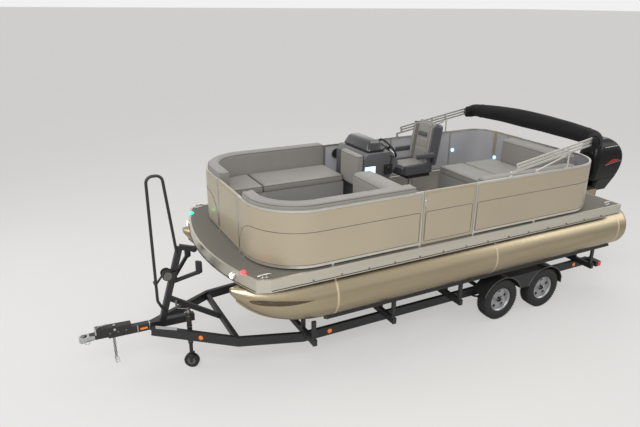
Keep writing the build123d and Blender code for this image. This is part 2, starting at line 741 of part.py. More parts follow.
with BuildPart() as cowl:
    loft([rounded_section(*row) for row in COWL])
    inner = inset_rows(COWL, COWL_WALL)
    inner[-1] = (inner[-1][0] - COWL_WALL,) + inner[-1][1:]
    loft([rounded_section(*row) for row in inner], mode=Mode.SUBTRACT)
keep(cowl.part, "motor_cowl")

with BuildPart() as powerhead:
    extrude(rounded_section(COWL[0][0], -860, -1330, 125, 20), amount=440)
keep(powerhead.part, "powerhead")

PROP_X = -1240.0
PROP_R = 162.0
HUB_R = 44.0
with BuildPart() as propeller:
    with BuildSketch(Plane(origin=(-1186, 0, PROP_Z), x_dir=(0, 1, 0), z_dir=(-1, 0, 0))):
        Circle(HUB_R)
    extrude(amount=104, taper=6)
    for blade in range(3):
        spin = radians(90 + 120 * blade)
        outward = Vector(0, cos(spin), sin(spin))
        around = Vector(0, -sin(spin), cos(spin))
        face_out = (Vector(-1, 0, 0) * cos(radians(28)) + around * sin(radians(28))).normalized()
        with BuildSketch(Plane(origin=(PROP_X, 0, PROP_Z), x_dir=outward, z_dir=face_out)):
            with Locations((PROP_R / 2 + 12, 0)):
                Ellipse(PROP_R / 2 - 12, 58)
        extrude(amount=3, both=True)
    with BuildSketch(Plane(origin=(-1180, 0, PROP_Z), x_dir=(0, 1, 0), z_dir=(-1, 0, 0))):
        Circle(PROP_SHAFT_R + PIN_FIT)
    extrude(amount=60 + SEATED, mode=Mode.SUBTRACT)
keep(propeller.part, "propeller")

# Sun top
fold_along = Vector(-cos(radians(FOLD_ANGLE)), 0, sin(radians(FOLD_ANGLE)))
fold_up = Vector(sin(radians(FOLD_ANGLE)), 0, cos(radians(FOLD_ANGLE)))
EYE_R = 17.0
EYE_PIN_R = 6.0
LUG_WALL = 8.0
LUG_Y = MID_Y - RAIL / 2 + LUG_WALL / 2


def fold_point(along, up, across):
    """Point in the folded top's frame: distance aft from its pivot, height and side."""
    spot = Vector(PIVOT_X, across, PIVOT_Z) + fold_along * along + fold_up * up
    return (spot.X, spot.Y, spot.Z)


with BuildPart() as mounts:
    for side in (-1, 1):
        for x, high in ((PIVOT_X, PIVOT_Z), (BRACE_FOOT_X, FENCE_TOP + 28)):
            with BuildSketch(Plane.XY.offset(FENCE_TOP)):
                with Locations((x, side * MID_Y)):
                    Rectangle(70, RAIL)
            extrude(amount=6)
            with BuildSketch(Plane.XZ.offset(-side * LUG_Y)):
                with Locations((x, (FENCE_TOP + high) / 2)):
                    Rectangle(34, high - FENCE_TOP)
                with Locations((x, high)):
                    Circle(EYE_R)
            extrude(amount=LUG_WALL / 2, both=True)
            if high == PIVOT_Z:
                with BuildSketch(Plane.XZ.offset(-(LUG_Y if side > 0 else -(MID_Y + RAIL / 2)))):
                    with Locations((x, high)):
                        Circle(EYE_PIN_R)
                extrude(amount=-(MID_Y + RAIL / 2 - LUG_Y))
keep(mounts.part, "top_mounts")

TUBE_Y_TOP = MID_Y + 2.3
with BuildPart() as top_frame:
    for side in (-1, 1):
        middle = side * TUBE_Y_TOP
        with BuildSketch(Plane.XZ.offset(-middle)):
            with Locations((PIVOT_X, PIVOT_Z)):
                Circle(EYE_R)
                Circle(EYE_PIN_R + PIN_FIT, mode=Mode.SUBTRACT)
        extrude(amount=7, both=True)
        for level, begin in ((0, EYE_R - 3), (TUBE_PITCH, 90), (2 * TUBE_PITCH, 90)):
            start = fold_point(begin, level, middle)
            end = fold_point(BOOT_LEG - 0.3, level, middle)
            with BuildSketch(bar_plane(start, end)):
                Rectangle(TUBE_WALL_Y, TOP_TUBE)
            extrude(amount=run(start, end))
        for begin in (90, 700, BRACE_HEAD + 40):
            start = fold_point(begin, -10, middle)
            end = fold_point(begin, 2 * TUBE_PITCH + 10, middle)
            with BuildSketch(bar_plane(start, end)):
                Rectangle(TUBE_WALL_Y, 30)
            extrude(amount=run(start, end))
keep(top_frame.part, "top_frame")

BOOT_CORNER = 230.0
boot_plane = Plane(origin=fold_point(0, TUBE_PITCH, 0), x_dir=(0, 1, 0), z_dir=fold_up)
with BuildPart() as boot:
    with BuildLine(boot_plane) as boot_line:
        FilletPolyline(
            (TUBE_Y_TOP, BOOT_LEG),
            (TUBE_Y_TOP, BOOT_REACH - 30),
            (0, BOOT_REACH + 20),
            (-TUBE_Y_TOP, BOOT_REACH - 30),
            (-TUBE_Y_TOP, BOOT_LEG),
            radius=[BOOT_BEND - 35, 2000, BOOT_BEND - 35],
        )
    with BuildSketch(Plane(origin=boot_line.line @ 0, z_dir=boot_line.line % 0)):
        Circle(BOOT_R)
    sweep()
keep(boot.part, "top_boot")

with BuildPart() as brace:
    for side in (-1, 1):
        middle = side * (TUBE_Y_TOP)
        foot = (BRACE_FOOT_X, middle, FENCE_TOP + 28)
        head = fold_point(BRACE_HEAD, -TOP_TUBE / 2 - EYE_R / 2 - 6, middle)
        for x, z in ((foot[0], foot[2]), (head[0], head[2])):
            with BuildSketch(Plane.XZ.offset(-middle)):
                with Locations((x, z)):
                    Circle(EYE_R / 2)
            extrude(amount=TUBE_WALL_Y / 2, both=True)
        with BuildSketch(bar_plane(foot, head)):
            Rectangle(TUBE_WALL_Y, EYE_R)
        extrude(amount=run(foot, head))
keep(brace.part, "top_brace")

# Trailer frame
HALF_RAIL = RAIL_W / 2
# Columns: x, y, z of the rail's centre line, from the stern to the tongue
RAIL_LINE = [
    (RAIL_STERN, RAIL_Y, RAIL_Z),
    (RAIL_BEND_X, RAIL_Y, RAIL_Z),
    (5600.0, 640.0, 450.0),
    (6475.0, 58.0, 520.0),
]
CROSS_X = (180.0, 1485.0, 2700.0, 3750.0, RAIL_BEND_X)
HANGER_REACH = 300.0
SPRING_WALL = 12.0
SPRING_END_Z = TYRE_R + 15.0
AXLE_TUBE_R = 30.0
BUNK_POST_X = (180.0, 2700.0, 3750.0, RAIL_BEND_X)
CROSS_REACH = BEAM / 2 - 145.0
CROSS_H = 76.0
CROSS_Z = RAIL_Z + RAIL_H / 2 + CROSS_H / 2
BUNK_ANGLE = 24.0
BUNK_X = (-120.0, 4700.0)
bunk_side = sin(radians(BUNK_ANGLE))
bunk_down = cos(radians(BUNK_ANGLE))
BUNK_LOW_R = TUBE_R + BUNK_T


def bunk_spot(side, lean, reach):
    """Point below a pontoon, out from its centre by reach on one side of the keel."""
    return (side * TUBE_Y + lean * bunk_side * reach, TUBE_Z - bunk_down * reach)


rail_run = (Vector(*RAIL_LINE[3]) - Vector(*RAIL_LINE[2])).normalized()
rail_ahead = Vector(rail_run.X, rail_run.Y, 0).normalized()
rail_out = Vector(-rail_ahead.Y, rail_ahead.X, 0)
rail_share = (JACK_X - RAIL_LINE[2][0]) / (RAIL_LINE[3][0] - RAIL_LINE[2][0])
rail_at_jack = Vector(*RAIL_LINE[2]) + (Vector(*RAIL_LINE[3]) - Vector(*RAIL_LINE[2])) * rail_share
jack_spot = rail_at_jack - rail_out * (HALF_RAIL + JACK_STAND_OFF + JACK_R)
jack_plane = Plane(origin=(jack_spot.X, jack_spot.Y, JACK_PIVOT_Z), x_dir=rail_ahead, z_dir=rail_out)
with BuildPart() as frame:
    for side in (-1, 1):
        line = [(x, side * y, z) for x, y, z in RAIL_LINE]
        for start, end in zip(line, line[1:]):
            with BuildSketch(bar_plane(start, end)):
                Rectangle(RAIL_W, RAIL_H)
            extrude(amount=run(start, end))
        for x, y, z in line[1:-1]:
            with BuildSketch(Plane.XY.offset(z - RAIL_H / 2)):
                with Locations((x, y)):
                    Circle(HALF_RAIL)
            extrude(amount=RAIL_H)
    for x in CROSS_X:
        with BuildSketch(Plane.XZ.offset(-(CROSS_REACH if x in BUNK_POST_X else RAIL_Y))):
            with Locations((x, CROSS_Z)):
                Rectangle(50, CROSS_H)
        extrude(amount=2 * (CROSS_REACH if x in BUNK_POST_X else RAIL_Y))
    for x in BUNK_POST_X:
        for side in (-1, 1):
            for lean in (-1, 1):
                y, z = bunk_spot(side, lean, BUNK_LOW_R)
                with BuildSketch(Plane.XY.offset(CROSS_Z + CROSS_H / 2)):
                    with Locations((x, y)):
                        Rectangle(50, 30)
                extrude(amount=z + 8 - CROSS_Z - CROSS_H / 2)
    for side in (-1, 1):
        for lean in (-1, 1):
            y, z = bunk_spot(side, lean, TUBE_R + BUNK_T / 2 + 0.3)
            lean_out = Vector(0, lean * bunk_side, -bunk_down)
            with BuildSketch(Plane(origin=(BUNK_X[0] - 50, y, z), x_dir=lean_out, z_dir=(1, 0, 0))):
                Rectangle(BUNK_T, BUNK_W)
            extrude(amount=BUNK_X[1] - BUNK_X[0] + 100, mode=Mode.SUBTRACT)
    with BuildSketch(bar_plane((5950, 0, TONGUE_Z + 10), (6960, 0, TONGUE_Z + 30))):
        Rectangle(76, 90)
    extrude(amount=1010)
    with BuildSketch(Plane.XZ.offset(-RAIL_LINE[2][1])):
        with Locations((RAIL_LINE[2][0], RAIL_LINE[2][2])):
            Rectangle(50, CROSS_H)
    extrude(amount=2 * RAIL_LINE[2][1])
    for side in (-1, 1):
        for x in AXLE_X:
            for reach in (-HANGER_REACH, HANGER_REACH):
                with BuildSketch(Plane.XY.offset(SPRING_END_Z + SPRING_WALL + SEATED)):
                    with Locations((x + reach, side * RAIL_Y)):
                        Rectangle(46, 44)
                extrude(amount=RAIL_Z - SPRING_END_Z - SPRING_WALL - SEATED)
    with BuildSketch(jack_plane.offset(JACK_R + SEATED)):
        Circle(30)
    extrude(amount=40)
keep(frame.part, "trailer_frame")

with BuildPart() as bunks:
    for side in (-1, 1):
        for lean in (-1, 1):
            y, z = bunk_spot(side, lean, TUBE_R + BUNK_T / 2 + 0.3)
            lean_out = Vector(0, lean * bunk_side, -bunk_down)
            with BuildSketch(Plane(origin=(BUNK_X[0], y, z), x_dir=lean_out, z_dir=(1, 0, 0))):
                Rectangle(BUNK_T - 0.6, BUNK_W)
            extrude(amount=BUNK_X[1] - BUNK_X[0])
keep(bunks.part, "bunk_boards")

# Axles, springs and wheels
AXLE_R = 25.0
HUB_FACE = WHEEL_FACE_Y - 62.0
AXLE_TUBE_Y = RAIL_Y + 40.0
with BuildPart() as axles:
    for x in AXLE_X:
        for half, radius in ((AXLE_TUBE_Y, AXLE_TUBE_R), (HUB_FACE, AXLE_R)):
            with BuildSketch(Plane.XZ.offset(-half)):
                with Locations((x, TYRE_R)):
                    Circle(radius)
            extrude(amount=2 * half)

SPRING_TOP = TYRE_R - AXLE_TUBE_R - SEATED
with BuildPart() as springs:
    for side in (-1, 1):
        for x in AXLE_X:
            low, high = (x - HANGER_REACH, x + HANGER_REACH)
            with BuildSketch(Plane.XZ.offset(-side * RAIL_Y)):
                with BuildLine():
                    ThreePointArc((low, SPRING_END_Z), (x, SPRING_TOP - SPRING_WALL), (high, SPRING_END_Z))
                    Line((high, SPRING_END_Z), (high, SPRING_END_Z + SPRING_WALL))
                    ThreePointArc(
                        (high, SPRING_END_Z + SPRING_WALL), (x, SPRING_TOP), (low, SPRING_END_Z + SPRING_WALL)
                    )
                    Line((low, SPRING_END_Z + SPRING_WALL), (low, SPRING_END_Z))
                make_face()
            extrude(amount=22, both=True)
    add(axles.part)
keep(springs.part, "axles")

# Columns: name, axle x, side
WHEELS = [
    ("port_front", AXLE_X[0], 1),
    ("port_rear", AXLE_X[1], 1),
    ("starboard_front", AXLE_X[0], -1),
    ("starboard_rear", AXLE_X[1], -1),
]
for name, x, side in WHEELS:
    face = side * WHEEL_FACE_Y
    inner_face = side * (WHEEL_FACE_Y - TYRE_W)
    middle = (face + inner_face) / 2
    axis = Axis((x, 0, TYRE_R), (0, 1, 0))
    with BuildPart() as tyre:
        with BuildSketch(Plane(origin=(x, middle, TYRE_R), x_dir=(0, 0, 1), z_dir=(1, 0, 0))):
            with BuildLine():
                half = TYRE_W / 2
                Line((RIM_R, -half + 22), (RIM_R, half - 22))
                ThreePointArc((RIM_R, half - 22), (RIM_R + 62, half), (TYRE_R - 14, half - 26))
                ThreePointArc((TYRE_R - 14, half - 26), (TYRE_R, 0), (TYRE_R - 14, -half + 26))
                ThreePointArc((TYRE_R - 14, -half + 26), (RIM_R + 62, -half), (RIM_R, -half + 22))
            make_face()
        revolve(axis=axis)
    keep(tyre.part, f"tyre_{name}")
    with BuildPart() as rim:
        with BuildSketch(Plane(origin=(x, middle, TYRE_R), x_dir=(0, 0, 1), z_dir=(1, 0, 0))):
            with BuildLine():
                wall = 5
                disc = side * 20
                Polyline(
                    (RIM_R - 0.3, -half + 22),
                    (RIM_R - 0.3, half - 22),
                    (RIM_R - wall, half - 22),
                    (RIM_R - 22, half - 40),
                    (RIM_R - 22, -half + 40),
                    (RIM_R - wall, -half + 22),
                    (RIM_R - 0.3, -half + 22),
                )
            make_face()
        revolve(axis=axis)
        with BuildSketch(Plane.XZ.offset(-(middle + disc))):
            with Locations((x, TYRE_R)):
                Circle(RIM_R - 21)
                with PolarLocations(118, 5, start_angle=90):
                    Ellipse(20, 26, mode=Mode.SUBTRACT)
        extrude(amount=4, both=True)
        with BuildSketch(Plane.XZ.offset(-(middle + disc))):
            with Locations((x, TYRE_R)):
                Circle(56)
        extrude(amount=24, both=True)
        with BuildSketch(Plane.XZ.offset(-(middle + disc + 24 * (1 if side > 0 else -1) - side * 6))):
            with Locations((x, TYRE_R)):
                Circle(AXLE_R + PIN_FIT)
        extrude(amount=60 * side, both=False, mode=Mode.SUBTRACT)
    keep(rim.part, f"rim_{name}")

# Fenders
FENDER_GAP = 48.0
FENDER_R = TYRE_R + FENDER_GAP
FENDER_Y = (RAIL_Y + HALF_RAIL, WHEEL_FACE_Y + 14.0)
FENDER_WALL = 4.0
FENDER_HEM = TYRE_R + 120.0
FENDER_WEB = 225.0
with BuildPart() as fenders:
    for side in (-1, 1):
        with BuildSketch(Plane.XZ.offset(-side * (FENDER_Y[0] + FENDER_Y[1]) / 2)):
            for x in AXLE_X:
                with Locations((x, TYRE_R)):
                    Circle(FENDER_R)
            with Locations(((AXLE_X[0] + AXLE_X[1]) / 2, TYRE_R + FENDER_R - 10 - FENDER_WEB / 2)):
                Rectangle(AXLE_X[0] - AXLE_X[1], FENDER_WEB)
            for x in AXLE_X:
                with Locations((x, TYRE_R)):
                    Circle(FENDER_R - FENDER_WALL, mode=Mode.SUBTRACT)
            with Locations(((AXLE_X[0] + AXLE_X[1]) / 2, FENDER_HEM - 300)):
                Rectangle(3000, 600, mode=Mode.SUBTRACT)
        extrude(amount=(FENDER_Y[1] - FENDER_Y[0]) / 2, both=True)
keep(fenders.part, "fenders")

# Tongue: coupler, jack, winch stand, steps and grab rail
BALL_R = 25.4
COUPLER_BALL_X = COUPLER_TIP - 45.0
with BuildPart() as coupler:
    with BuildSketch(bar_plane((6700, 0, TONGUE_Z + 55), (7150, 0, TONGUE_Z + 75))):
        Rectangle(92, 120)
    extrude(amount=400)
    with BuildSketch(bar_plane((7090, 0, TONGUE_Z + 40), (7230, 0, TONGUE_Z + 30))):
        Rectangle(70, 60)
    extrude(amount=140)
    with BuildSketch(Plane.XY.offset(TONGUE_Z)):
        with Locations((COUPLER_BALL_X, 0)):
            Circle(45)
    extrude(amount=62)
    with BuildSketch(Plane.XY.offset(TONGUE_Z)):
        with Locations((COUPLER_BALL_X, 0)):
            Circle(BALL_R)
    extrude(amount=40, mode=Mode.SUBTRACT)
    with BuildSketch(bar_plane((5950, 0, TONGUE_Z + 10), (6960, 0, TONGUE_Z + 30))):
        Rectangle(76.1, 90.1)
    extrude(amount=1010.2, mode=Mode.SUBTRACT)
keep(coupler.part, "coupler")

STAND_BASE = (6330.0, 0.0, 598.6)
STAND_TOP = (6060.0, 0.0, 1500.0)
BRACE_TOP = (6250.0, 0.0, 880.0)
TONGUE_BACK = (5950.0, 0.0, TONGUE_Z + 10)
TONGUE_FRONT = (6960.0, 0.0, TONGUE_Z + 30)
STOP_Y = 250.0
ARM_FOOT = (6190.0, 0.0, 1065.0)
with BuildPart() as stand:
    for side in (-1, 1):
        with BuildSketch(Plane.XY.offset(1230)):
            with Locations((5925, side * STOP_Y)):
                Rectangle(40, 40)
        extrude(amount=160)
        arm_head = (5925, side * STOP_Y, 1250)
        with BuildSketch(bar_plane(ARM_FOOT, arm_head)):
            Rectangle(30, 40)
        extrude(amount=run(ARM_FOOT, arm_head))
    with BuildSketch(bar_plane(STAND_BASE, STAND_TOP)):
        Rectangle(60, 70)
    extrude(amount=run(STAND_BASE, STAND_TOP))
    with BuildSketch(bar_plane(STAND_TOP, (5890, 0, 1440))):
        Rectangle(50, 60)
    extrude(amount=run(STAND_TOP, (5890, 0, 1440)))
    with BuildSketch(bar_plane(BRACE_TOP, (RAIL_LINE[2][0], 0, RAIL_LINE[2][2]))):
        Rectangle(50, 60)
    extrude(amount=run(BRACE_TOP, (RAIL_LINE[2][0], 0, RAIL_LINE[2][2])))
    with BuildSketch(bar_plane(TONGUE_BACK, TONGUE_FRONT)):
        Rectangle(76.2, 90.2)
    extrude(amount=run(TONGUE_BACK, TONGUE_FRONT), mode=Mode.SUBTRACT)
    with BuildSketch(Plane.XZ.offset(-100)):
        with Locations((RAIL_LINE[2][0], RAIL_LINE[2][2])):
            Rectangle(50.2, CROSS_H + 0.2)
        with Locations((RAIL_LINE[2][0] - 300, RAIL_LINE[2][2])):
            Rectangle(600, 300)
    extrude(amount=200, mode=Mode.SUBTRACT)
keep(stand.part, "winch_stand")

WINCH_X = 6235.0
WINCH_Z = 1180.0
with BuildPart() as winch:
    for side in (-1, 1):
        with BuildSketch(Plane.XZ.offset(-side * 52)):
            with Locations((WINCH_X, WINCH_Z)):
                Circle(62)
            with Locations((WINCH_X - 65, WINCH_Z - 20)):
                Rectangle(90, 110)
        extrude(amount=3, both=True)
    with BuildSketch(Plane.XZ.offset(-56)):
        with Locations((WINCH_X, WINCH_Z)):
            Circle(24)
    extrude(amount=142)
    with BuildSketch(bar_plane((WINCH_X, -80, WINCH_Z), (WINCH_X + 120, -80, WINCH_Z - 150))):
        Rectangle(10, 24)
    extrude(amount=run((WINCH_X, -80, WINCH_Z), (WINCH_X + 120, -80, WINCH_Z - 150)))
    with BuildSketch(Plane.XZ.offset(-52)):
        with Locations((WINCH_X - 38, WINCH_Z - 20)):
            Rectangle(30, 100)
    extrude(amount=104)
    for start, end, wide, deep in (
        (STAND_BASE, STAND_TOP, 60.6, 70.6),
        (ARM_FOOT, (5925, STOP_Y, 1250), 30.6, 40.6),
        (ARM_FOOT, (5925, -STOP_Y, 1250), 30.6, 40.6),
    ):
        with BuildSketch(bar_plane(start, end)):
            Rectangle(wide, deep)
        extrude(amount=run(start, end), mode=Mode.SUBTRACT)
keep(winch.part, "winch")

# Columns: x, z of the grab rail's corners, from its front foot over the top and down
GRAB_R = 17.0
GRAB_Y = 30.0 + GRAB_R + SEATED
GRAB_LINE = [(6290.0, 700.0), (6375.0, 880.0), (6375.0, 2400.0), (6200.0, 2400.0), (6105.0, 1440.0)]
with BuildPart() as grab:
    with BuildLine(Plane.XZ.offset(-GRAB_Y)) as grab_line:
        FilletPolyline(*GRAB_LINE, radius=[120, 75, 75])
    with BuildSketch(Plane(origin=grab_line.line @ 0, z_dir=grab_line.line % 0)):
        Circle(GRAB_R)
    sweep()
keep(grab.part, "grab_rail")

JACK_PIN_R = 7.0
FORK_TOP = 2 * JACK_WHEEL_R + 12.0
jack_across = Plane(origin=(jack_spot.X, jack_spot.Y, JACK_WHEEL_R), x_dir=rail_ahead, z_dir=rail_out * -1)
with BuildPart() as jack:
    with BuildSketch(Plane(origin=(jack_spot.X, jack_spot.Y, 330))):
        Circle(JACK_R)
    extrude(amount=JACK_TOP - 330)
    with BuildSketch(Plane(origin=(jack_spot.X, jack_spot.Y, FORK_TOP))):
        Circle(JACK_R - 8)
    extrude(amount=330 - FORK_TOP)
    with BuildSketch(jack_plane):
        Circle(36)
    extrude(amount=JACK_R)
    with BuildSketch(Plane(origin=(jack_spot.X, jack_spot.Y, FORK_TOP - 6), x_dir=rail_ahead, z_dir=(0, 0, 1))):
        Rectangle(60, 74)
    extrude(amount=6)
    for side in (-1, 1):
        with BuildSketch(jack_across.offset(side * 34)):
            with BuildLine():
                Polyline(
                    (-28, FORK_TOP - JACK_WHEEL_R),
                    (28, FORK_TOP - JACK_WHEEL_R),
                    (16, -18),
                    (-16, -18),
                    (-28, FORK_TOP - JACK_WHEEL_R),
                )
            make_face()
        extrude(amount=3, both=True)
    with BuildSketch(jack_across.offset(-37)):
        Circle(JACK_PIN_R)
    extrude(amount=74)
keep(jack.part, "jack_leg")

with BuildPart() as castor:
    with BuildSketch(jack_across.offset(-25)):
        Circle(JACK_WHEEL_R)
        Circle(JACK_PIN_R + PIN_FIT, mode=Mode.SUBTRACT)
    extrude(amount=50)
keep(castor.part, "jack_wheel")

# Safety chains
LINK_R = 4.0
LINK_LONG = 24.0
LINK_WIDE = 11.0
LINKS = 9
LINK_PITCH = 31.7
CHAIN_X = 6900.0
CHAIN_TOP_Z = 507.5
with BuildPart() as chains:
    for side in (-1, 1):
        for link in range(LINKS):
            centre = (CHAIN_X, side * 25.0, CHAIN_TOP_Z - link * LINK_PITCH)
            across = Vector(1, 0, 0) if link % 2 == 0 else Vector(0, 1, 0)
            plane = Plane(origin=centre, x_dir=across, z_dir=across.cross(Vector(0, 0, 1)))
            with BuildLine(plane) as loop:
                straight = LINK_LONG / 2
                Line((LINK_WIDE, -straight / 2), (LINK_WIDE, straight / 2))
                ThreePointArc((LINK_WIDE, straight / 2), (0, straight / 2 + LINK_WIDE), (-LINK_WIDE, straight / 2))
                Line((-LINK_WIDE, straight / 2), (-LINK_WIDE, -straight / 2))
                ThreePointArc((-LINK_WIDE, -straight / 2), (0, -straight / 2 - LINK_WIDE), (LINK_WIDE, -straight / 2))
            with BuildSketch(Plane(origin=loop.line @ 0, z_dir=loop.line % 0)):
                Circle(LINK_R)
            sweep()
keep(chains.part, "safety_chains")

# Lamps
with BuildPart() as tail_lamps:
    for side in (-1, 1):
        with BuildSketch(Plane.XY.offset(RAIL_Z - 40)):
            with Locations((RAIL_STERN - 50 - SEATED, side * (RAIL_Y + 80))):
                Rectangle(100, 200)
        extrude(amount=80)
keep(tail_lamps.part, "tail_lamps")

BOW_ARC_R = (CORNER_Y**2 + (DECK_BOW - DECK_SHOULDER) ** 2) / (2 * (DECK_BOW - DECK_SHOULDER))


def bow_spot(across, height, out):
    """Plane on the bowed front edge that looks straight out, at a height."""
    turn = asin(across / BOW_ARC_R)
    face_out = Vector(cos(turn), sin(turn), 0)
    spot = Vector(DECK_BOW - BOW_ARC_R, 0, height) + face_out * (BOW_ARC_R + out)
    return Plane(origin=spot, x_dir=(-sin(turn), cos(turn), 0), z_dir=face_out)


NAV_LAMP_Y = 1015.0
DOCK_LAMP_Y = 870.0
with BuildPart() as bow_lamps:
    for side in (-1, 1):
        spot = bow_spot(side * NAV_LAMP_Y, DECK_TOP, -30).origin
        with BuildSketch(Plane.XY.offset(DECK_TOP)):
            with Locations((spot.X, spot.Y)):
                Ellipse(20, 46)
        extrude(amount=24, taper=18)
    for side in (-1, 1):
        with BuildSketch(bow_spot(side * DOCK_LAMP_Y, DECK_TOP - EDGE_HEIGHT / 2, SEATED)):
            Circle(38)
        extrude(amount=26, taper=10)
keep(bow_lamps.part, "bow_lamps")
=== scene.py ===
# %% [markdown]
# # Pontoon boat on its tandem-axle trailer
# This script dresses a finished CAD model. The model stays as it is and every piece made here
# sits on it, in metres, with X towards the bow, Y to port and Z up. Places are written in
# millimetres from the deck's stern edge, as a boat builder would measure them, and one function
# moves them to the model's origin. Radii and profiles of small fittings are in metres.

# %% Load the model
import bpy
import bmesh
import json
from math import asin, cos, exp, hypot, pi, radians, sin, sqrt
from mathutils import Matrix, Vector, noise
from mathutils.bvhtree import BVHTree


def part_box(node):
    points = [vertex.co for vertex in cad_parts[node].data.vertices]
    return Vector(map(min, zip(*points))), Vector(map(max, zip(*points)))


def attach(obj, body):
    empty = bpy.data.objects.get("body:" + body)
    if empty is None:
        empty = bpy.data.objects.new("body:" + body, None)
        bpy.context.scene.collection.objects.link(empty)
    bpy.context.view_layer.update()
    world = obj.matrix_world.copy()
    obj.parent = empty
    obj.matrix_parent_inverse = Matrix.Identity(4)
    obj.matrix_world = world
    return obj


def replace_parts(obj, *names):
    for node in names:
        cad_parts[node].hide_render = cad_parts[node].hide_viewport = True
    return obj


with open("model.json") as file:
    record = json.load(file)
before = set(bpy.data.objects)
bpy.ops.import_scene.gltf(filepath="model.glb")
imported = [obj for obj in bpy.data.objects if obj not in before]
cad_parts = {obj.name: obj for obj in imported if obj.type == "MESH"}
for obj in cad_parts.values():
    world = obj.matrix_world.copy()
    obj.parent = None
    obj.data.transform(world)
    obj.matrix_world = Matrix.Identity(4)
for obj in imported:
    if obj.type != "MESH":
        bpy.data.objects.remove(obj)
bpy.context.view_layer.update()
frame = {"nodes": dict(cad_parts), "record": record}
STERN_SHIFT = 2886.5
SIDES = (-1, 1)


def at(x, y, z):
    """Point in metres for a place in millimetres from the deck's stern edge."""
    return Vector(((x - STERN_SHIFT) / 1000, y / 1000, z / 1000))


# %% [markdown]
# ## Camera
# The photo was matched with three known sizes: the deck's beam, the pontoons' diameter and the
# tyres' diameter. That gave the camera's place, its way of looking, a roll of half a degree and a
# focal length in pixels, which a 36 mm sensor turns into a lens of about 32 mm.

# %% Camera
AZIMUTH, ELEVATION, ROLL = radians(242.557), radians(-20.203), 0.009
EYE_PLACE = (4.5565, 6.229, 4.198)
SENSOR_MM, FOCAL_PIXELS, PHOTO_PIXELS = 36.0, 574.2, 640
look = Vector((cos(AZIMUTH) * cos(ELEVATION), sin(AZIMUTH) * cos(ELEVATION), sin(ELEVATION)))
right = look.cross(Vector((0, 0, 1))).normalized()
above = right.cross(look)
right, above = right * cos(ROLL) + above * sin(ROLL), above * cos(ROLL) - right * sin(ROLL)
eye = bpy.data.cameras.new("camera")
eye.sensor_width = SENSOR_MM
eye.lens = FOCAL_PIXELS * SENSOR_MM / PHOTO_PIXELS
camera = bpy.data.objects.new("camera", eye)
bpy.context.collection.objects.link(camera)
camera.matrix_world = Matrix.Translation(EYE_PLACE) @ Matrix((right, above, -look)).transposed().to_4x4()
bpy.context.scene.camera = camera
bpy.context.scene.view_settings.view_transform = "Standard"
print("lens", round(eye.lens, 2))

# %% [markdown]
# ## Nodes for materials
# One function adds any node with its settings and links. Colours are written as sRGB hex, as they
# are picked from a screen, and turned to the linear values that the renderer works in. Rolled and
# brushed metal is noise that is stretched into streaks, leather grain is the edges of Voronoi
# cells, and a weave is three crossed bands of waves.

# %% Colours and nodes


def linear(hex_colour):
    """sRGB hex as linear RGBA."""
    channels = [int(hex_colour[i:i + 2], 16) / 255 for i in (1, 3, 5)]
    return tuple(c / 12.92 if c <= 0.04045 else ((c + 0.055) / 1.055) ** 2.4 for c in channels) + (1.0,)


def add_node(tree, kind, inputs=None, **settings):
    """A node with its settings; an input is a value, or another node's output to link."""
    made = tree.nodes.new(kind)
    for key, value in settings.items():
        setattr(made, key, value)
    for key, value in (inputs or {}).items():
        if isinstance(value, bpy.types.NodeSocket):
            tree.links.new(value, made.inputs[key])
        else:
            made.inputs[key].default_value = value
    return made


# Columns: stretch along X, Y and Z, detail of the noise
STREAKS = {"brushed": ((0.02, 1.0, 1.0), 3.0), "rolled": ((0.12, 1.0, 2.2), 2.0)}


def pattern(tree, spot, kind, size):
    """Height or colour pattern of a real size in millimetres."""
    scale = {0: spot, "Scale": 1000.0 / size}
    if kind == "grain":
        return add_node(tree, "ShaderNodeTexVoronoi", scale, feature="DISTANCE_TO_EDGE").outputs[0]
    if kind == "weave":
        scale["Scale"] /= 20
        warp, weft, rise = [add_node(tree, "ShaderNodeTexWave", scale, bands_direction=axis).outputs[1]
                            for axis in "XYZ"]
        both = add_node(tree, "ShaderNodeMath", {0: warp, 1: weft}, operation="MAXIMUM")
        return add_node(tree, "ShaderNodeMath", {0: both.outputs[0], 1: rise}, operation="ADD").outputs[0]
    scale["Detail"] = 4.0
    if kind in STREAKS:
        stretch, scale["Detail"] = STREAKS[kind]
        scale[0] = add_node(tree, "ShaderNodeMapping", {0: spot, 3: stretch}).outputs[0]
    return add_node(tree, "ShaderNodeTexNoise", scale).outputs[0]


def finish(name, colours, patch, rough, metal=0.0, marks=(), **shader_values):
    """Material: two colours that drift in patches, a roughness range and layers of surface marks.

    marks holds (kind, size in mm, depth in mm), from the coarsest to the finest.
    """
    material = bpy.data.materials.new(name)
    material.use_nodes = True
    tree = material.node_tree
    shader = tree.nodes["Principled BSDF"]
    spot = add_node(tree, "ShaderNodeTexCoord").outputs["Object"]
    drift = pattern(tree, spot, *patch)
    mixed = add_node(tree, "ShaderNodeMix", {0: drift, 6: linear(colours[0]), 7: linear(colours[1])},
                     data_type="RGBA")
    tree.links.new(mixed.outputs[2], shader.inputs["Base Color"])
    fine = pattern(tree, spot, "noise", patch[1] / 6)
    spread = add_node(tree, "ShaderNodeMapRange", {0: fine, 3: rough[0], 4: rough[1]})
    tree.links.new(spread.outputs[0], shader.inputs["Roughness"])
    shader.inputs["Metallic"].default_value = metal
    bump = None
    for kind, size, depth in marks:
        link = {"Height": pattern(tree, spot, kind, size), "Distance": depth / 1000, "Strength": 1.0}
        if bump:
            link["Normal"] = bump.outputs[0]
        bump = add_node(tree, "ShaderNodeBump", link)
    if bump:
        tree.links.new(bump.outputs[0], shader.inputs["Normal"])
    for key, value in shader_values.items():
        shader.inputs[key.replace("_", " ")].default_value = value
    return material


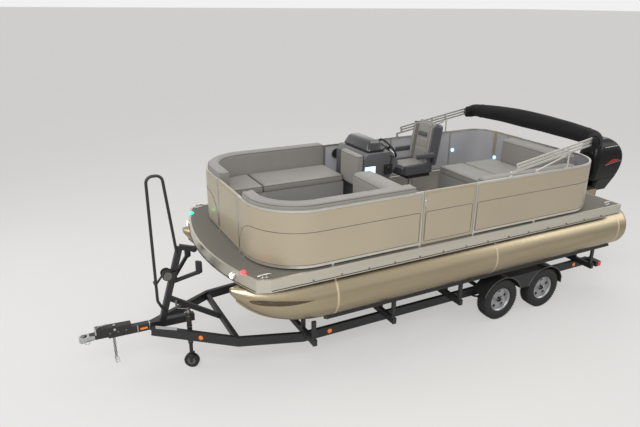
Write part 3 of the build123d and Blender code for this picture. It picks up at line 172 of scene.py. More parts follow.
# %% [markdown]
# ## Metals
# The pontoons and deck edge are mill-finish aluminium: rolled sheet keeps long soft streaks along
# its length and dulls unevenly. The darker colour of the pressed strakes on the noses is painted
# shade of their hollows. Weld bands are brushed bright. Rails are anodised, so they are even and
# satin. The fence is painted aluminium sheet, warm silver, with a very light orange peel. The
# trailer is powder coated, which gives a fine pebbled surface.

# %% Metals
hull_metal = finish("mill_finish_aluminium", ("#B9AC92", "#94876E"), ("rolled", 260), (0.22, 0.42), 1.0,
                    [("rolled", 90, 0.5), ("brushed", 3, 0.03)])
edge_metal = finish("mill_aluminium_edge", ("#D6D1C5", "#C0BAAE"), ("rolled", 300), (0.3, 0.48), 1.0,
                    [("brushed", 2.5, 0.03)])
weld_metal = finish("brushed_weld_band", ("#DCCDB0", "#C9B896"), ("rolled", 60), (0.45, 0.6), 0.75,
                    [("brushed", 3, 0.1)])
# Painted shade: this dark colour stands for the shade in the strakes' pressed hollows.
strake_shade_paint = finish("pressed_strake_painted_shade", ("#6B5F4E", "#564B3D"), ("rolled", 120), (0.4, 0.5), 1.0,
                      [("brushed", 3, 0.04)])
rail_metal = finish("anodised_aluminium", ("#DAD7D0", "#C8C5BE"), ("noise", 120), (0.3, 0.42), 0.85,
                    [("brushed", 1.5, 0.02)])
fence_paint = finish("painted_aluminium_sheet", ("#B4A892", "#A89C86"), ("noise", 900), (0.3, 0.42), 0.25,
                     [("noise", 14, 0.03)], Coat_Weight=0.25)
lining_paint = finish("light_grey_lining_sheet", ("#B9B9BC", "#AEAEB2"), ("noise", 700), (0.35, 0.5), 0.1,
                      [("noise", 9, 0.03)])
coat_black = finish("powder_coated_steel", ("#1B1B1D", "#252527"), ("noise", 160), (0.38, 0.55), 0.0,
                    [("grain", 1.6, 0.05)])
zinc = finish("galvanised_steel", ("#7C7A75", "#5A5854"), ("grain", 22), (0.35, 0.55), 1.0,
              [("noise", 6, 0.05)])
dull_zinc = finish("weathered_zinc_plate", ("#3E3D3B", "#2C2B2A"), ("grain", 18), (0.4, 0.6), 0.7,
                   [("noise", 5, 0.05)])
wheel_paint = finish("silver_wheel_paint", ("#B9BABB", "#A5A6A8"), ("noise", 60), (0.3, 0.4), 0.6,
                     [("noise", 2, 0.02)])
iron = finish("cast_iron", ("#333335", "#454547"), ("noise", 40), (0.6, 0.8), 0.7, [("noise", 3, 0.3)])
gloss_black = finish("gloss_black_enamel", ("#060607", "#0B0B0D"), ("noise", 200), (0.2, 0.3), 0.0,
                     [("noise", 12, 0.01)], Coat_Weight=0.05, Specular_IOR_Level=0.22)
bright_trim = finish("polished_trim", ("#D8D8D6", "#C4C4C2"), ("noise", 80), (0.12, 0.2), 1.0,
                     [("brushed", 1.2, 0.01)])
red_enamel = finish("red_enamel", ("#A8121B", "#8E0F17"), ("noise", 80), (0.2, 0.3), 0.0,
                    [("noise", 8, 0.01)])

# %% [markdown]
# ## Plastics, vinyl, rubber and cloth
# Marine vinyl has a leather-like grain of about two millimetres, drawn at three so that it shows,
# and a soft sheen. The deck is woven vinyl, with threads of three millimetres, drawn at five. Seat
# bases are rotation-moulded, with a fine orange peel. The boot is woven acrylic canvas, the bunks
# are carpeted, tyres are moulded rubber.

# %% Soft finishes
VINYL_GRAIN = ("grain", 3.0, 0.25)
vinyl_light = finish("marine_vinyl_grey", ("#8D8A84", "#7F7C77"), ("noise", 320), (0.42, 0.55), 0.0,
                     [VINYL_GRAIN, ("noise", 60, 0.6)], Sheen_Weight=0.15)
vinyl_dark = finish("marine_vinyl_charcoal", ("#4A4B4F", "#3D3E42"), ("noise", 240), (0.42, 0.55), 0.0,
                    [VINYL_GRAIN, ("noise", 60, 0.5)], Sheen_Weight=0.15)
piping_dark = finish("vinyl_piping", ("#55544F", "#4A4945"), ("noise", 60), (0.45, 0.55), 0.0,
                     [("noise", 4, 0.05)])
deck_vinyl = finish("woven_vinyl_deck", ("#706C63", "#615D55"), ("noise", 7), (0.6, 0.75), 0.0,
                    [("weave", 5, 0.25), ("noise", 4, 0.1)])
base_plastic = finish("moulded_polyethylene", ("#8F8D8B", "#85837F"), ("noise", 260), (0.45, 0.6), 0.0,
                      [("noise", 3.5, 0.12)])
console_plastic = finish("moulded_acrylic_grey", ("#5F5F61", "#545456"), ("noise", 200), (0.28, 0.4), 0.0,
                         [("noise", 5, 0.03)], Coat_Weight=0.2)
hood_plastic = finish("smoked_acrylic", ("#232325", "#1B1B1D"), ("noise", 200), (0.12, 0.22), 0.0,
                      [("noise", 30, 0.02)], Coat_Weight=0.5)
canvas = finish("acrylic_canvas_charcoal", ("#0E0E10", "#151517"), ("noise", 180), (0.75, 0.9), 0.0,
                [("noise", 70, 3.0), ("weave", 7, 0.3)], Sheen_Weight=0.06, Specular_IOR_Level=0.25)
tyre_rubber = finish("moulded_tyre_rubber", ("#242424", "#1B1B1B"), ("noise", 60), (0.65, 0.85), 0.0,
                     [("noise", 3, 0.15)])
rubber = finish("black_rubber", ("#1D1D1E", "#171718"), ("noise", 40), (0.55, 0.7), 0.0,
                [("noise", 2.5, 0.1)])
carpet = finish("bunk_carpet", ("#2B2B2E", "#1E1E20"), ("noise", 9), (0.9, 1.0), 0.0,
                [("noise", 5, 1.2)], Sheen_Weight=0.3)
black_plastic = finish("moulded_abs_black", ("#1A1A1B", "#222223"), ("noise", 60), (0.4, 0.5), 0.0,
                       [("noise", 2, 0.05)])


def lens(name, hex_colour, strength):
    """Moulded lens with ribs that spread its glow: lamp light in a lamp, a painted reflection in a reflector.
    """
    made = finish(name, (hex_colour, hex_colour), ("noise", 20), (0.08, 0.15), 0.0, [("grain", 8, 0.4)],
                  Coat_Weight=0.5)
    shader = made.node_tree.nodes["Principled BSDF"]
    shader.inputs["Emission Color"].default_value = linear(hex_colour)
    shader.inputs["Emission Strength"].default_value = strength
    return made


red_lens = lens("red_lens", "#C8141A", 0.35)
red_lamp = lens("lit_red_lens", "#FF3038", 3.0)
green_lamp = lens("lit_green_lens", "#2EE09C", 2.5)
# The amber reflectors have no lamp behind them; their faint glow is a painted reflection.
reflector_painted_glow = lens("reflector_painted_glow", "#D9701A", 0.3)
clear_lens = lens("clear_lens", "#FFF8E8", 5.0)
cool_light = lens("cool_light_strip", "#8FD8E8", 3.0)
print("materials", len(bpy.data.materials))

# %% [markdown]
# ## Finishes on the CAD nodes
# Each CAD node names a slot in its record, and the slot names a finish. A few nodes get a finish
# of their own, where the real part differs from the rest of its slot.

# %% Slots
FINISH_OF_SLOT = {
    "hull_aluminium": hull_metal, "rail_aluminium": rail_metal, "fence_paint": fence_paint,
    "deck_vinyl": deck_vinyl, "seat_vinyl": vinyl_light, "dark_vinyl": vinyl_dark,
    "base_plastic": base_plastic, "console_plastic": console_plastic, "hood_plastic": hood_plastic,
    "boot_canvas": canvas, "trailer_paint": coat_black, "zinc_steel": zinc,
    "wheel_silver": wheel_paint, "tyre_rubber": tyre_rubber, "rubber": rubber,
    "bunk_carpet": carpet, "motor_paint": gloss_black, "engine_iron": iron,
    "lamp_red": red_lens, "lamp_clear": clear_lens,
}
FINISH_OF_NODE = {
    "deck_edge": edge_metal, "coupler": dull_zinc, "winch": dull_zinc, "jack_leg": dull_zinc,
    "tail_lamps": black_plastic,
}
slot_of_node = {row["node"]: row["material_slot"] for row in frame["record"]["subparts"]}
for node_name, node_object in frame["nodes"].items():
    node_object.data.materials.clear()
    node_object.data.materials.append(FINISH_OF_NODE.get(node_name, FINISH_OF_SLOT[slot_of_node[node_name]]))

# %% [markdown]
# ## Pieces from simple shapes
# Fittings are built from rods, blocks and turned shapes that are gathered in one mesh. A small
# class holds the corners and faces until the piece is written. Every shape but the block is a skin
# over rings of points, so one function makes all their faces.

# %% Objects and meshes
SHARP_ANGLE = 38.0


def linked(name, mesh):
    """Object that shows a mesh or holds a lamp."""
    made = bpy.data.objects.new(name, mesh)
    bpy.context.collection.objects.link(made)
    return made


def new_object(name, points, faces=()):
    """Object with a mesh of its own from corners and faces."""
    mesh = bpy.data.meshes.new(name)
    mesh.from_pydata(points, [], faces)
    return linked(name, mesh)


def turn_outwards(mesh, merge=0.0):
    """Turn every face outwards, once corners nearer than merge are one."""
    work = bmesh.new()
    work.from_mesh(mesh)
    if merge:
        bmesh.ops.remove_doubles(work, verts=work.verts, dist=merge)
    bmesh.ops.recalc_face_normals(work, faces=work.faces)
    work.to_mesh(mesh)
    work.free()


def evaluated_mesh(holder):
    """Mesh that an object's modifiers give; the object itself is removed."""
    bpy.context.view_layer.update()
    mesh = bpy.data.meshes.new_from_object(holder.evaluated_get(bpy.context.evaluated_depsgraph_get()))
    bpy.data.objects.remove(holder)
    return mesh


def riding(made, body, sharp=SHARP_ANGLE):
    """Smooth an object except at its sharp edges, and let it ride on a body."""
    made.data.shade_smooth()
    made.data.set_sharp_from_angle(angle=radians(sharp))
    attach(made, body)
    return made


# %% A gatherer of shapes


def square_to(way):
    """Direction square to a way, and level unless the way stands upright."""
    side_way = way.cross(Vector((0, 0, 1)))
    if side_way.length < 0.1:
        side_way = way.cross(Vector((1, 0, 0)))
    return side_way.normalized()


def circle(middle, side_way, up_way, radius, sides):
    """Points round a middle, from two directions across the circle."""
    sweep = [2 * pi * k / sides for k in range(sides)]
    return [middle + (side_way * cos(a) + up_way * sin(a)) * radius for a in sweep]


class Shapes:
    """Corners and faces of one piece, gathered from rods, blocks and turned profiles."""

    def __init__(self):
        self.points, self.faces = [], []

    def add(self, points, faces):
        start = len(self.points)
        self.points += [Vector(p) for p in points]
        self.faces += [[start + i for i in face] for face in faces]

    def skin(self, rings, closed=False):
        """Faces over rings of equally many points, closed on itself or with a face at each end."""
        sides, count = len(rings[0]), len(rings)
        faces = []
        for i in range(count if closed else count - 1):
            here, there = i * sides, (i + 1) % count * sides
            for k in range(sides):
                after = (k + 1) % sides
                faces.append([here + k, here + after, there + after, there + k])
        if not closed:
            faces += [list(range(sides))[::-1], [(count - 1) * sides + k for k in range(sides)]]
        self.add([p for ring in rings for p in ring], faces)

    def rod(self, path, radius, sides=10, closed=False, flat=1.0):
        """Round bar along a path, of one radius or one for each point; flat squeezes it across."""
        count, rings, side_way = len(path), [], None
        for i, spot in enumerate(path):
            ahead = path[(i + 1) % count] if closed or i + 1 < count else spot
            behind = path[i - 1] if closed or i else spot
            way = (ahead - behind).normalized()
            side_way = side_way or square_to(way)
            side_way = (side_way - way * side_way.dot(way)).normalized()
            size = radius[i] if isinstance(radius, list) else radius
            rings.append(circle(spot, side_way, way.cross(side_way) * flat, size, sides))
        self.skin(rings, closed)

    def block(self, corner, opposite, turn=None):
        """Box between two opposite corners, which may be turned about its middle."""
        xs, ys, zs = [sorted(pair) for pair in zip(corner, opposite)]
        points = [Vector((x, y, z)) for x in xs for y in ys for z in zs]
        if turn:
            middle = sum(points, Vector()) / len(points)
            points = [middle + turn @ (p - middle) for p in points]
        self.add(points, [[0, 1, 3, 2], [4, 6, 7, 5], [0, 4, 5, 1], [2, 3, 7, 6], [0, 2, 6, 4], [1, 5, 7, 3]])

    def turned(self, centre, axis, profile, sides=24, closed=False):
        """Profile of (distance along the axis, radius) turned about the axis."""
        axis = Vector(axis).normalized()
        side_way = square_to(axis)
        up_way = axis.cross(side_way)
        rings = [circle(centre + axis * along, side_way, up_way, radius, sides) for along, radius in profile]
        self.skin(rings, closed)

    def piece(self, name, material, body, slot, bevel=0.0):
        """Write the gathered shapes as one object that rides on a body."""
        made = new_object(name, self.points, self.faces)
        turn_outwards(made.data, merge=1e-6)
        made.data.materials.append(material)
        if bevel:
            rounding = made.modifiers.new("edges", "BEVEL")
            rounding.width = bevel
            rounding.segments = 2
            rounding.limit_method = "ANGLE"
        return riding(made, body)


def plain(name, shape):
    """Gathered shapes as an object that isn't a piece yet."""
    made = new_object(name, shape.points, shape.faces)
    turn_outwards(made.data)
    return made


# %% [markdown]
# ## Floor and light
# A plain pale floor keeps the boat's shadow, and large soft lamps light it as a showroom would.
# The world is white to the camera and to glossy surfaces, so the metal has something to reflect.

# %% Floor, lamps and world
FLOOR_REACH = 400
floor_corners = [(x * FLOOR_REACH, y * FLOOR_REACH, 0) for x, y in ((-1, -1), (1, -1), (1, 1), (-1, 1))]
floor = new_object("floor", floor_corners, [[0, 1, 2, 3]])
floor.location.z = -0.001
floor_paint = finish("pale_floor", ("#D9D8D5", "#D3D2CF"), ("noise", 2500), (0.8, 0.9))
floor.data.materials.append(floor_paint)
floor_tree = floor_paint.node_tree
floor_glow = add_node(floor_tree, "ShaderNodeEmission", {0: linear("#E9E8E6"), 1: 1.0})
floor_rays = add_node(floor_tree, "ShaderNodeLightPath")
floor_share = add_node(floor_tree, "ShaderNodeMath", {0: floor_rays.outputs["Is Camera Ray"], 1: 0.55},
                       operation="MULTIPLY")
floor_mix = add_node(floor_tree, "ShaderNodeMixShader",
                     {0: floor_share.outputs[0], 1: floor_tree.nodes["Principled BSDF"].outputs[0],
                      2: floor_glow.outputs[0]})
floor_tree.links.new(floor_mix.outputs[0], floor_tree.nodes["Material Output"].inputs[0])

LAMP_AIM = Vector((0, 0, 1.0))
# Columns: name, place, side of the square, power
LAMPS = [
    ("key_lamp", (5.2, 6.2, 6.2), 4.5, 400),
    ("fill_lamp", (7.5, -3.0, 5.0), 5.0, 180),
    ("top_lamp", (-2.0, 0.0, 8.5), 6.0, 240),
    ("rear_lamp", (-8.0, 5.0, 5.0), 4.0, 110),
]
for lamp_name, place, size, power in LAMPS:
    lamp_data = bpy.data.lights.new(lamp_name, "AREA")
    lamp_data.size, lamp_data.energy = size, power
    lamp = linked(lamp_name, lamp_data)
    lamp.location = place
    lamp.rotation_euler = (LAMP_AIM - Vector(place)).to_track_quat("-Z", "Y").to_euler()
world = bpy.data.worlds.new("studio")
bpy.context.scene.world = world
world.use_nodes = True
sky = world.node_tree
rays = add_node(sky, "ShaderNodeLightPath")
seen = rays.outputs["Is Camera Ray"]
for ray_kind in ("Is Glossy Ray", "Is Transmission Ray"):
    either = add_node(sky, "ShaderNodeMath", {0: seen, 1: rays.outputs[ray_kind]}, operation="MAXIMUM")
    seen = either.outputs[0]
level = add_node(sky, "ShaderNodeMapRange", {0: seen, 3: 0.5, 4: 0.88})
sky.links.new(level.outputs[0], sky.nodes["Background"].inputs["Strength"])
sky.nodes["Background"].inputs["Color"].default_value = (1, 1, 1, 1)

# %% [markdown]
# ## Fence panels
# The fence is sheet aluminium in a frame of square tube. Each length but the bow gate shows an
# upper band and a lower panel that stands slightly proud, with rounded corners and a fine dark
# bead round it. A light lining sheet closes the frame on the inside. The sheets follow the fence's
# plan, so they are drawn along that line: distance along it and height above the ground, and a
# small step outward.

# %% Fence line
FENCE_MID, FENCE_BOW, FENCE_STERN = 1249.0, 5467.0, 413.0
BOW_ARC, STERN_ARC, GATE_ARC = 610.0, 540.0, 322.0
BAND_LINE, PANEL_LOW, PANEL_HIGH = 1936.0, 1560.0, 2159.0
SMALL_R, STERN_R, NOSE_R = 25.0, 60.0, 350.0


def arc(centre, radius, start, end, steps=18):
    """Points of an arc in plan, angles in degrees."""
    sweep = [radians(start + (end - start) * i / steps) for i in range(steps + 1)]
    return [(centre[0] + radius * cos(a), centre[1] + radius * sin(a)) for a in sweep]


def spaced(points, step=60.0):
    """Extra points on long straight runs."""
    out = [points[0]]
    for a, b in zip(points, points[1:]):
        parts = max(1, int(hypot(b[0] - a[0], b[1] - a[1]) // step))
        out += [(a[0] + (b[0] - a[0]) * i / parts, a[1] + (b[1] - a[1]) * i / parts)
                for i in range(1, parts + 1)]
    return out


def fence_line(corners):
    """Plan line with its lengths: rows of (distance, x, y, outward x, outward y)."""
    corners = spaced(corners)
    rows, distance = [], 0.0
    for i, (x, y) in enumerate(corners):
        if i:
            distance += hypot(x - corners[i - 1][0], y - corners[i - 1][1])
        before = corners[max(i - 1, 0)]
        after = corners[min(i + 1, len(corners) - 1)]
        way = Vector((after[0] - before[0], after[1] - before[1])).normalized()
        rows.append((distance, x, y, -way.y, way.x))
    return rows


def on_line(rows, distance, out, z):
    """Point at a distance along the line, moved outward, at a height."""
    distance = min(max(distance, rows[0][0]), rows[-1][0])
    for a, b in zip(rows, rows[1:]):
        if distance <= b[0] + 1e-9:
            t = (distance - a[0]) / max(b[0] - a[0], 1e-9)
            x, y, out_x, out_y = [a[k] + (b[k] - a[k]) * t for k in range(1, 5)]
            return at(x + out_x * out, y + out_y * out, z)
    return at(rows[-1][1], rows[-1][2], z)


def corner_arc(x_end, x_sign, y_sign, radius, start, end):
    """Rounded corner of the fence between one end and one side."""
    return arc((x_end - x_sign * radius, y_sign * (FENCE_MID - radius)), radius, start, end)


# Columns: body, line in plan, radius of the lower panel's top corner at its start and at its end
PANELS = [
    ("root", [(3556.0, FENCE_MID), *corner_arc(FENCE_BOW, 1, 1, BOW_ARC, 90, 0), (FENCE_BOW, 476.0)],
     SMALL_R, NOSE_R),
    ("root", [(FENCE_STERN, -294.0), *corner_arc(FENCE_STERN, -1, 1, STERN_ARC, 180, 90), (2719.0, FENCE_MID)],
     STERN_R, SMALL_R),
    ("root", [(FENCE_BOW, -276.0), *corner_arc(FENCE_BOW, 1, -1, BOW_ARC, 0, -90), (3513.0, -FENCE_MID)],
     NOSE_R, SMALL_R),
    ("root", [(3487.0, -FENCE_MID), (2313.0, -FENCE_MID)], SMALL_R, SMALL_R),
    ("root", [(2287.0, -FENCE_MID), *corner_arc(FENCE_STERN, -1, -1, GATE_ARC, -90, -180),
              (FENCE_STERN, -926.0)], SMALL_R, STERN_R),
    ("side_gate", [(2780.0, FENCE_MID), (3496.0, FENCE_MID)], SMALL_R, SMALL_R),
    ("bow_gate", [(FENCE_BOW, 417.0), (FENCE_BOW, -217.0)], None, None),
    ("stern_gate", [(FENCE_STERN, -867.0), (FENCE_STERN, -353.0)], SMALL_R, SMALL_R),
]

# %% Fence sheets
LOW_FOOT, SHEET_FOOT = 20.0, 4.0


def rounded_span(start, end, low, high, radius_start, radius_end, foot=SHEET_FOOT, steps=8, longest=55):
    """Columns of (distance, lowest z, highest z) of a panel with rounded corners."""
    marks = {start, end, start + foot, end - foot}
    for i in range(steps + 1):
        marks.add(start + radius_start * (1 - cos(pi / 2 * i / steps)))
        marks.add(end - radius_end * (1 - cos(pi / 2 * i / steps)))
    count = max(int((end - start) // longest), 2)
    marks |= {start + (end - start) * i / count for i in range(1, count)}
    columns = []
    for s in sorted(marks):
        drop = 0.0
        for gap, radius in ((s - start, radius_start), (end - s, radius_end)):
            if gap < radius:
                drop = max(drop, radius - sqrt(max(radius ** 2 - (radius - gap) ** 2, 0.0)))
        edge = min(s - start, end - s, foot)
        columns.append((s, low + foot - sqrt(max(foot ** 2 - (foot - edge) ** 2, 0.0)), high - drop))
    return columns


def sheet_shape(shape, rows, columns, inner, outer):
    """Closed sheet along the fence line between two distances out from it."""
    rings = []
    for s, low, high in columns:
        section = ((inner, low), (inner, high), (outer, high), (outer, low))
        rings.append([on_line(rows, s, out, z) for out, z in section])
    shape.skin(rings)


def bead_shape(shape, rows, columns, out, radius, nearest_step=0.004):
    """Fine bead round a panel's edge."""
    path = [on_line(rows, s, out, high) for s, low, high in columns]
    path += [on_line(rows, s, out, low) for s, low, high in reversed(columns)]
    clean = [path[0]]
    for p in path[1:]:
        if (p - clean[-1]).length > nearest_step:
            clean.append(p)
    if (clean[0] - clean[-1]).length < nearest_step:
        clean.pop()
    shape.rod(clean, radius, sides=6, closed=True)


for body in ("root", "side_gate", "bow_gate", "stern_gate"):
    upper, lower, beads, lining = Shapes(), Shapes(), Shapes(), Shapes()
    for _, corners, radius_start, radius_end in [row for row in PANELS if row[0] == body]:
        rows = fence_line(corners)
        first, last = rows[0][0] + 2, rows[-1][0] - 2
        sheet_shape(upper, rows, rounded_span(first, last, PANEL_LOW - 2, PANEL_HIGH, 4, 4), 12.5, 14.5)
        sheet_shape(lining, rows, rounded_span(first, last, PANEL_LOW, PANEL_HIGH - 2, 4, 4), -4.5, -2.5)
        if radius_start:
            low_panel = rounded_span(first + 8, last - 8, PANEL_LOW + 8, BAND_LINE, radius_start, radius_end,
                                     LOW_FOOT)
            sheet_shape(lower, rows, low_panel, 14, 16.5)
            bead_shape(beads, rows, low_panel, 15.5, 0.0032)
    upper.piece("fence_sheet_" + body, fence_paint, body, "fence_paint")
    lining.piece("fence_lining_" + body, lining_paint, body, "fence_paint")
    if lower.points:
        lower.piece("fence_lower_panels_" + body, fence_paint, body, "fence_paint")
        beads.piece("fence_beads_" + body, piping_dark, body, "fence_paint")
print("fence panels", len(PANELS))

# %% [markdown]
# ## Padded pieces
# A boat cushion is foam in a sewn vinyl cover. Its top is crowned, its edges roll over, a piping
# runs round the seam, and sewn channels press into the foam. Each pad starts as its outline with a
# thickness, is remeshed to an even skin, and every point is then moved by how far it lies from the
# outline and from the channels. That keeps the shape exact where it meets its neighbours.

# %% Outlines of pads


def nearest(point, line, closed):
    """Distance in plan from a point to a line of points."""
    best = 1e9
    for (ax, ay), (bx, by) in zip(line, line[1:] + line[:1] if closed else line[1:]):
        dx, dy = bx - ax, by - ay
        size = dx * dx + dy * dy
        t = 0.0 if size == 0 else min(1.0, max(0.0, ((point[0] - ax) * dx + (point[1] - ay) * dy) / size))
        best = min(best, hypot(point[0] - ax - dx * t, point[1] - ay - dy * t))
    return best


def inward(outline, step):
    """Outline drawn in by a step, corner by corner."""
    area = sum(a[0] * b[1] - b[0] * a[1] for a, b in zip(outline, outline[1:] + outline[:1]))
    side = 1.0 if area > 0 else -1.0
    out = []
    for i, (x, y) in enumerate(outline):
        (ax, ay), (bx, by) = outline[i - 1], outline[(i + 1) % len(outline)]
        w1, w2 = Vector((x - ax, y - ay)).normalized(), Vector((bx - x, by - y)).normalized()
        n1, n2 = Vector((-w1.y, w1.x)) * side, Vector((-w2.y, w2.x)) * side
        mitre = (n1 + n2).normalized()
        length = step / max(mitre.dot(n1), 0.5)
        out.append((x + mitre.x * length, y + mitre.y * length))
    return out


def rounded_box(x_range, y_range, *radii):
    """Rounded rectangle in plan; four radii go round the corners from low x and low y."""
    radii = radii if len(radii) == 4 else radii * 4
    corners = [(x_range[0], y_range[0], 180), (x_range[1], y_range[0], 270),
               (x_range[1], y_range[1], 0), (x_range[0], y_range[1], 90)]
    points = []
    for (x, y, start), r in zip(corners, radii):
        cx = x + r if x == x_range[0] else x - r
        cy = y + r if y == y_range[0] else y - r
        points += arc((cx, cy), r, start, start + 90, 5 if r < 100 else 12)
    return points


# %% Pads
BOAT = Matrix.Translation((-STERN_SHIFT / 1000, 0, 0))
SKIN_IN, PIPING_IN, PIPING_R = 3.0, 4.0, 0.0032


def pad_lift(u, v, share, low, skin, roll, crown, channels):
    """Millimetres that a point of a pad is moved by; share is its height from 0 to 1."""
    gap = nearest((u, v), skin, True)
    if share > 0.5:
        edge = 1 - min(gap / roll, 1.0)
        lift = -roll * 0.75 * (1 - sqrt(max(1 - edge ** 2, 0))) * (share - 0.5) * 2
        lift += crown * (1 - exp(-max(gap - roll * 0.5, 0) / 90)) * (share - 0.5) * 2 - crown * 0.35
        for line, width, depth in channels:
            lift -= depth * exp(-(nearest((u, v), line, False) / width) ** 2)
        return lift + 1.6 * noise.noise(Vector((u / 130, v / 130, low / 300)))
    if share < 0.25:
        edge = 1 - min(gap / (roll * 0.4), 1.0)
        return roll * 0.25 * (1 - sqrt(max(1 - edge ** 2, 0)))
    return 0.0


def pad(outline, low, high, material, roll=38.0, crown=10.0, place=BOAT, channels=(), voxel=13.0,
        piping=True):
    """Crowned pad on an outline in millimetres, and its piping, as plain objects."""
    skin = inward(outline, SKIN_IN)
    prism = Shapes()
    prism.skin([[(x / 1000, y / 1000, z / 1000) for x, y in skin] for z in (low, high)])
    holder = plain("pad", prism)
    remesh = holder.modifiers.new("skin", "REMESH")
    remesh.mode, remesh.voxel_size = "VOXEL", voxel / 1000
    even = evaluated_mesh(holder)
    for vert in even.vertices:
        u, v, w = vert.co * 1000
        vert.co.z += pad_lift(u, v, (w - low) / (high - low), low, skin, roll, crown, channels) / 1000
    shaped = bmesh.new()
    shaped.from_mesh(even)
    for _ in range(2):
        bmesh.ops.smooth_vert(shaped, verts=shaped.verts, factor=0.5, use_axis_x=True, use_axis_y=True,
                              use_axis_z=True)
    bmesh.ops.triangulate(shaped, faces=[f for f in shaped.faces if len(f.verts) > 4])
    shaped.to_mesh(even)
    shaped.free()
    even.materials.clear()
    even.materials.append(material)
    even.transform(place)
    parts = [linked("pad", even)]
    if piping:
        seam = Shapes()
        height = (high - roll * 0.62) / 1000
        path = [place @ Vector((x / 1000, y / 1000, height)) for x, y in inward(outline, PIPING_IN)]
        seam.rod(path, PIPING_R, sides=6, closed=True)
        parts.append(new_object("piping", seam.points, seam.faces))
        parts[-1].data.materials.append(piping_dark)
    return parts


def joined(name, parts, body, nodes=()):
    """Several plain objects as one padded piece on a body, which may stand for CAD nodes."""
    points, faces, marks, materials = [], [], [], []
    for part in parts:
        start = len(points)
        points += [v.co.copy() for v in part.data.vertices]
        for face in part.data.polygons:
            faces.append([start + i for i in face.vertices])
            material = part.data.materials[face.material_index]
            if material not in materials:
                materials.append(material)
            marks.append(materials.index(material))
        bpy.data.meshes.remove(part.data)
    made = new_object(name, points, faces)
    for material in materials:
        made.data.materials.append(material)
    made.data.polygons.foreach_set("material_index", marks)
    turn_outwards(made.data)
    riding(made, body, sharp=50.0)
    if nodes:
        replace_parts(made, *nodes)
    return made


# %% Seat cushions
SEAT_LOW, SEAT_HIGH = 1845.0, 1950.0
SEAT_Y = (470.0, 1076.0)
STARBOARD_SEAT_Y = (-1076.0, -470.0)
STERN_SEAT_Y = (-250.0, 1076.0)
BOW_SEAT_X = (4802.0, 5294.0)
BOW_SEAT_R = 428


def seat_channels(x_range, y_range, count):
    """Sewn channels across a seat, evenly spaced."""
    step = (x_range[1] - x_range[0]) / (count + 1)
    places = [x_range[0] + step * (i + 1) for i in range(count)]
    return [([(x, y_range[0] + 60), (x, y_range[1] - 60)], 9.0, 5.0) for x in places]


# Columns: side of the boat, x range, y range, channels
LIDS = [
    ("port", (3930.0, 4790.0), SEAT_Y, 1),
    ("starboard", (3600.0, 4790.0), STARBOARD_SEAT_Y, 1),
    ("stern", (1070.0, 1650.0), STERN_SEAT_Y, 0),
]
for lid, x_range, y_range, count in LIDS:
    parts = pad(rounded_box(x_range, y_range, 24), SEAT_LOW, SEAT_HIGH, vinyl_light,
                channels=seat_channels(x_range, y_range, count))
    joined("cushion_seat_lid_" + lid, parts, "lid_" + lid, ("seat_lid_" + lid,))
fixed = []
for outline in (rounded_box(BOW_SEAT_X, SEAT_Y, 20, 24, BOW_SEAT_R, 20),
                rounded_box(BOW_SEAT_X, STARBOARD_SEAT_Y, 20, BOW_SEAT_R, 24, 20),
                rounded_box((1662.0, 2100.0), STERN_SEAT_Y, 30)):
    fixed += pad(outline, SEAT_LOW, SEAT_HIGH, vinyl_light)
joined("cushions_fixed", fixed, "root", ("seat_cushions_fixed",))

# %% Backrests
BACK_LOW, BACK_HIGH, BACK_AFT = 1570.0, 2255.0, 3600.0
BACK_OUT, BACK_IN, BACK_BOW_OUT, BACK_BOW_IN = 1232.0, 1082.0, 5450.0, 5300.0
BEND_OUT, BEND_IN = 584.0, 434.0
BEND_X, BEND_Y = 4860.0, 642.0


def back_outline(side, end_y):
    """Outline of a backrest that follows the fence round its bow corner."""
    far = arc((BACK_BOW_OUT - BEND_OUT, BACK_OUT - BEND_OUT), BEND_OUT, 90, 0, 16)
    near = arc((BACK_BOW_IN - BEND_IN, BACK_IN - BEND_IN), BEND_IN, 0, 90, 14)
    points = spaced([(BACK_AFT, BACK_OUT)] + far + [(BACK_BOW_OUT, end_y)], 120)
    points += spaced([(BACK_BOW_IN, end_y)] + near + [(BACK_AFT, BACK_IN)], 120)
    return [(x, side * y) for x, y in points]


def across(x, side=1):
    """Seam across a straight backrest."""
    return [(x, side * 1075.0), (x, side * 1240.0)]


def round_seam(side, angle):
    """Seam across the backrest at its rounded corner."""
    a = radians(angle)
    return [(BEND_X + r * cos(a), side * (BEND_Y + r * sin(a))) for r in (425.0, 600.0)]


for side, end_y, node in ((1, 495.0, "backrest_port"), (-1, 295.0, "backrest_starboard")):
    lines = (across(4190.0, side), across(BEND_X, side), round_seam(side, 12.0))
    seams = [(line, 8.0, 9.0) for line in lines]
    bend = [(x, side * y) for x, y in arc((BEND_X, BEND_Y), 528.0, 90, 0, 12)]
    ridge = [(BACK_AFT + 30, side * 1170.0)] + bend + [(5388.0, side * (end_y + 30))]
    seams.append((ridge, 15.0, 19.0))
    parts = pad(back_outline(side, end_y), BACK_LOW, BACK_HIGH, vinyl_light, roll=50.0, crown=6.0,
                channels=seams, voxel=15.0)
    if side > 0:
        parts += pad(rounded_box((3640.0, 3924.0), (300.0, 1076.0), 40), 1512.0, 2230.0, vinyl_light,
                     roll=80.0, crown=8.0, voxel=15.0)
    joined("cushion_" + node, parts, "root", (node,))
parts = pad(rounded_box((832.0, 1064.0), (-108.0, 1074.0), 40), 1847.0, 2298.0, vinyl_light, roll=88.0,
            crown=6.0, voxel=15.0)
parts += pad(rounded_box((1002.0, 2598.0), (1084.0, 1230.0), 30), 1512.0, 2205.0, vinyl_light, roll=50.0,
             crown=6.0, channels=[(across(x), 8.0, 8.0) for x in (1520.0, 2060.0)], voxel=15.0)
joined("cushion_backrest_stern", parts, "root", ("backrest_stern",))
parts = pad(rounded_box((3477.0, 3592.0), (-600.0, -134.0), 34), 1850.0, 2290.0, vinyl_light, roll=48.0,
            crown=6.0)
joined("console_backrest_pad", parts, "root")
print("pads done")

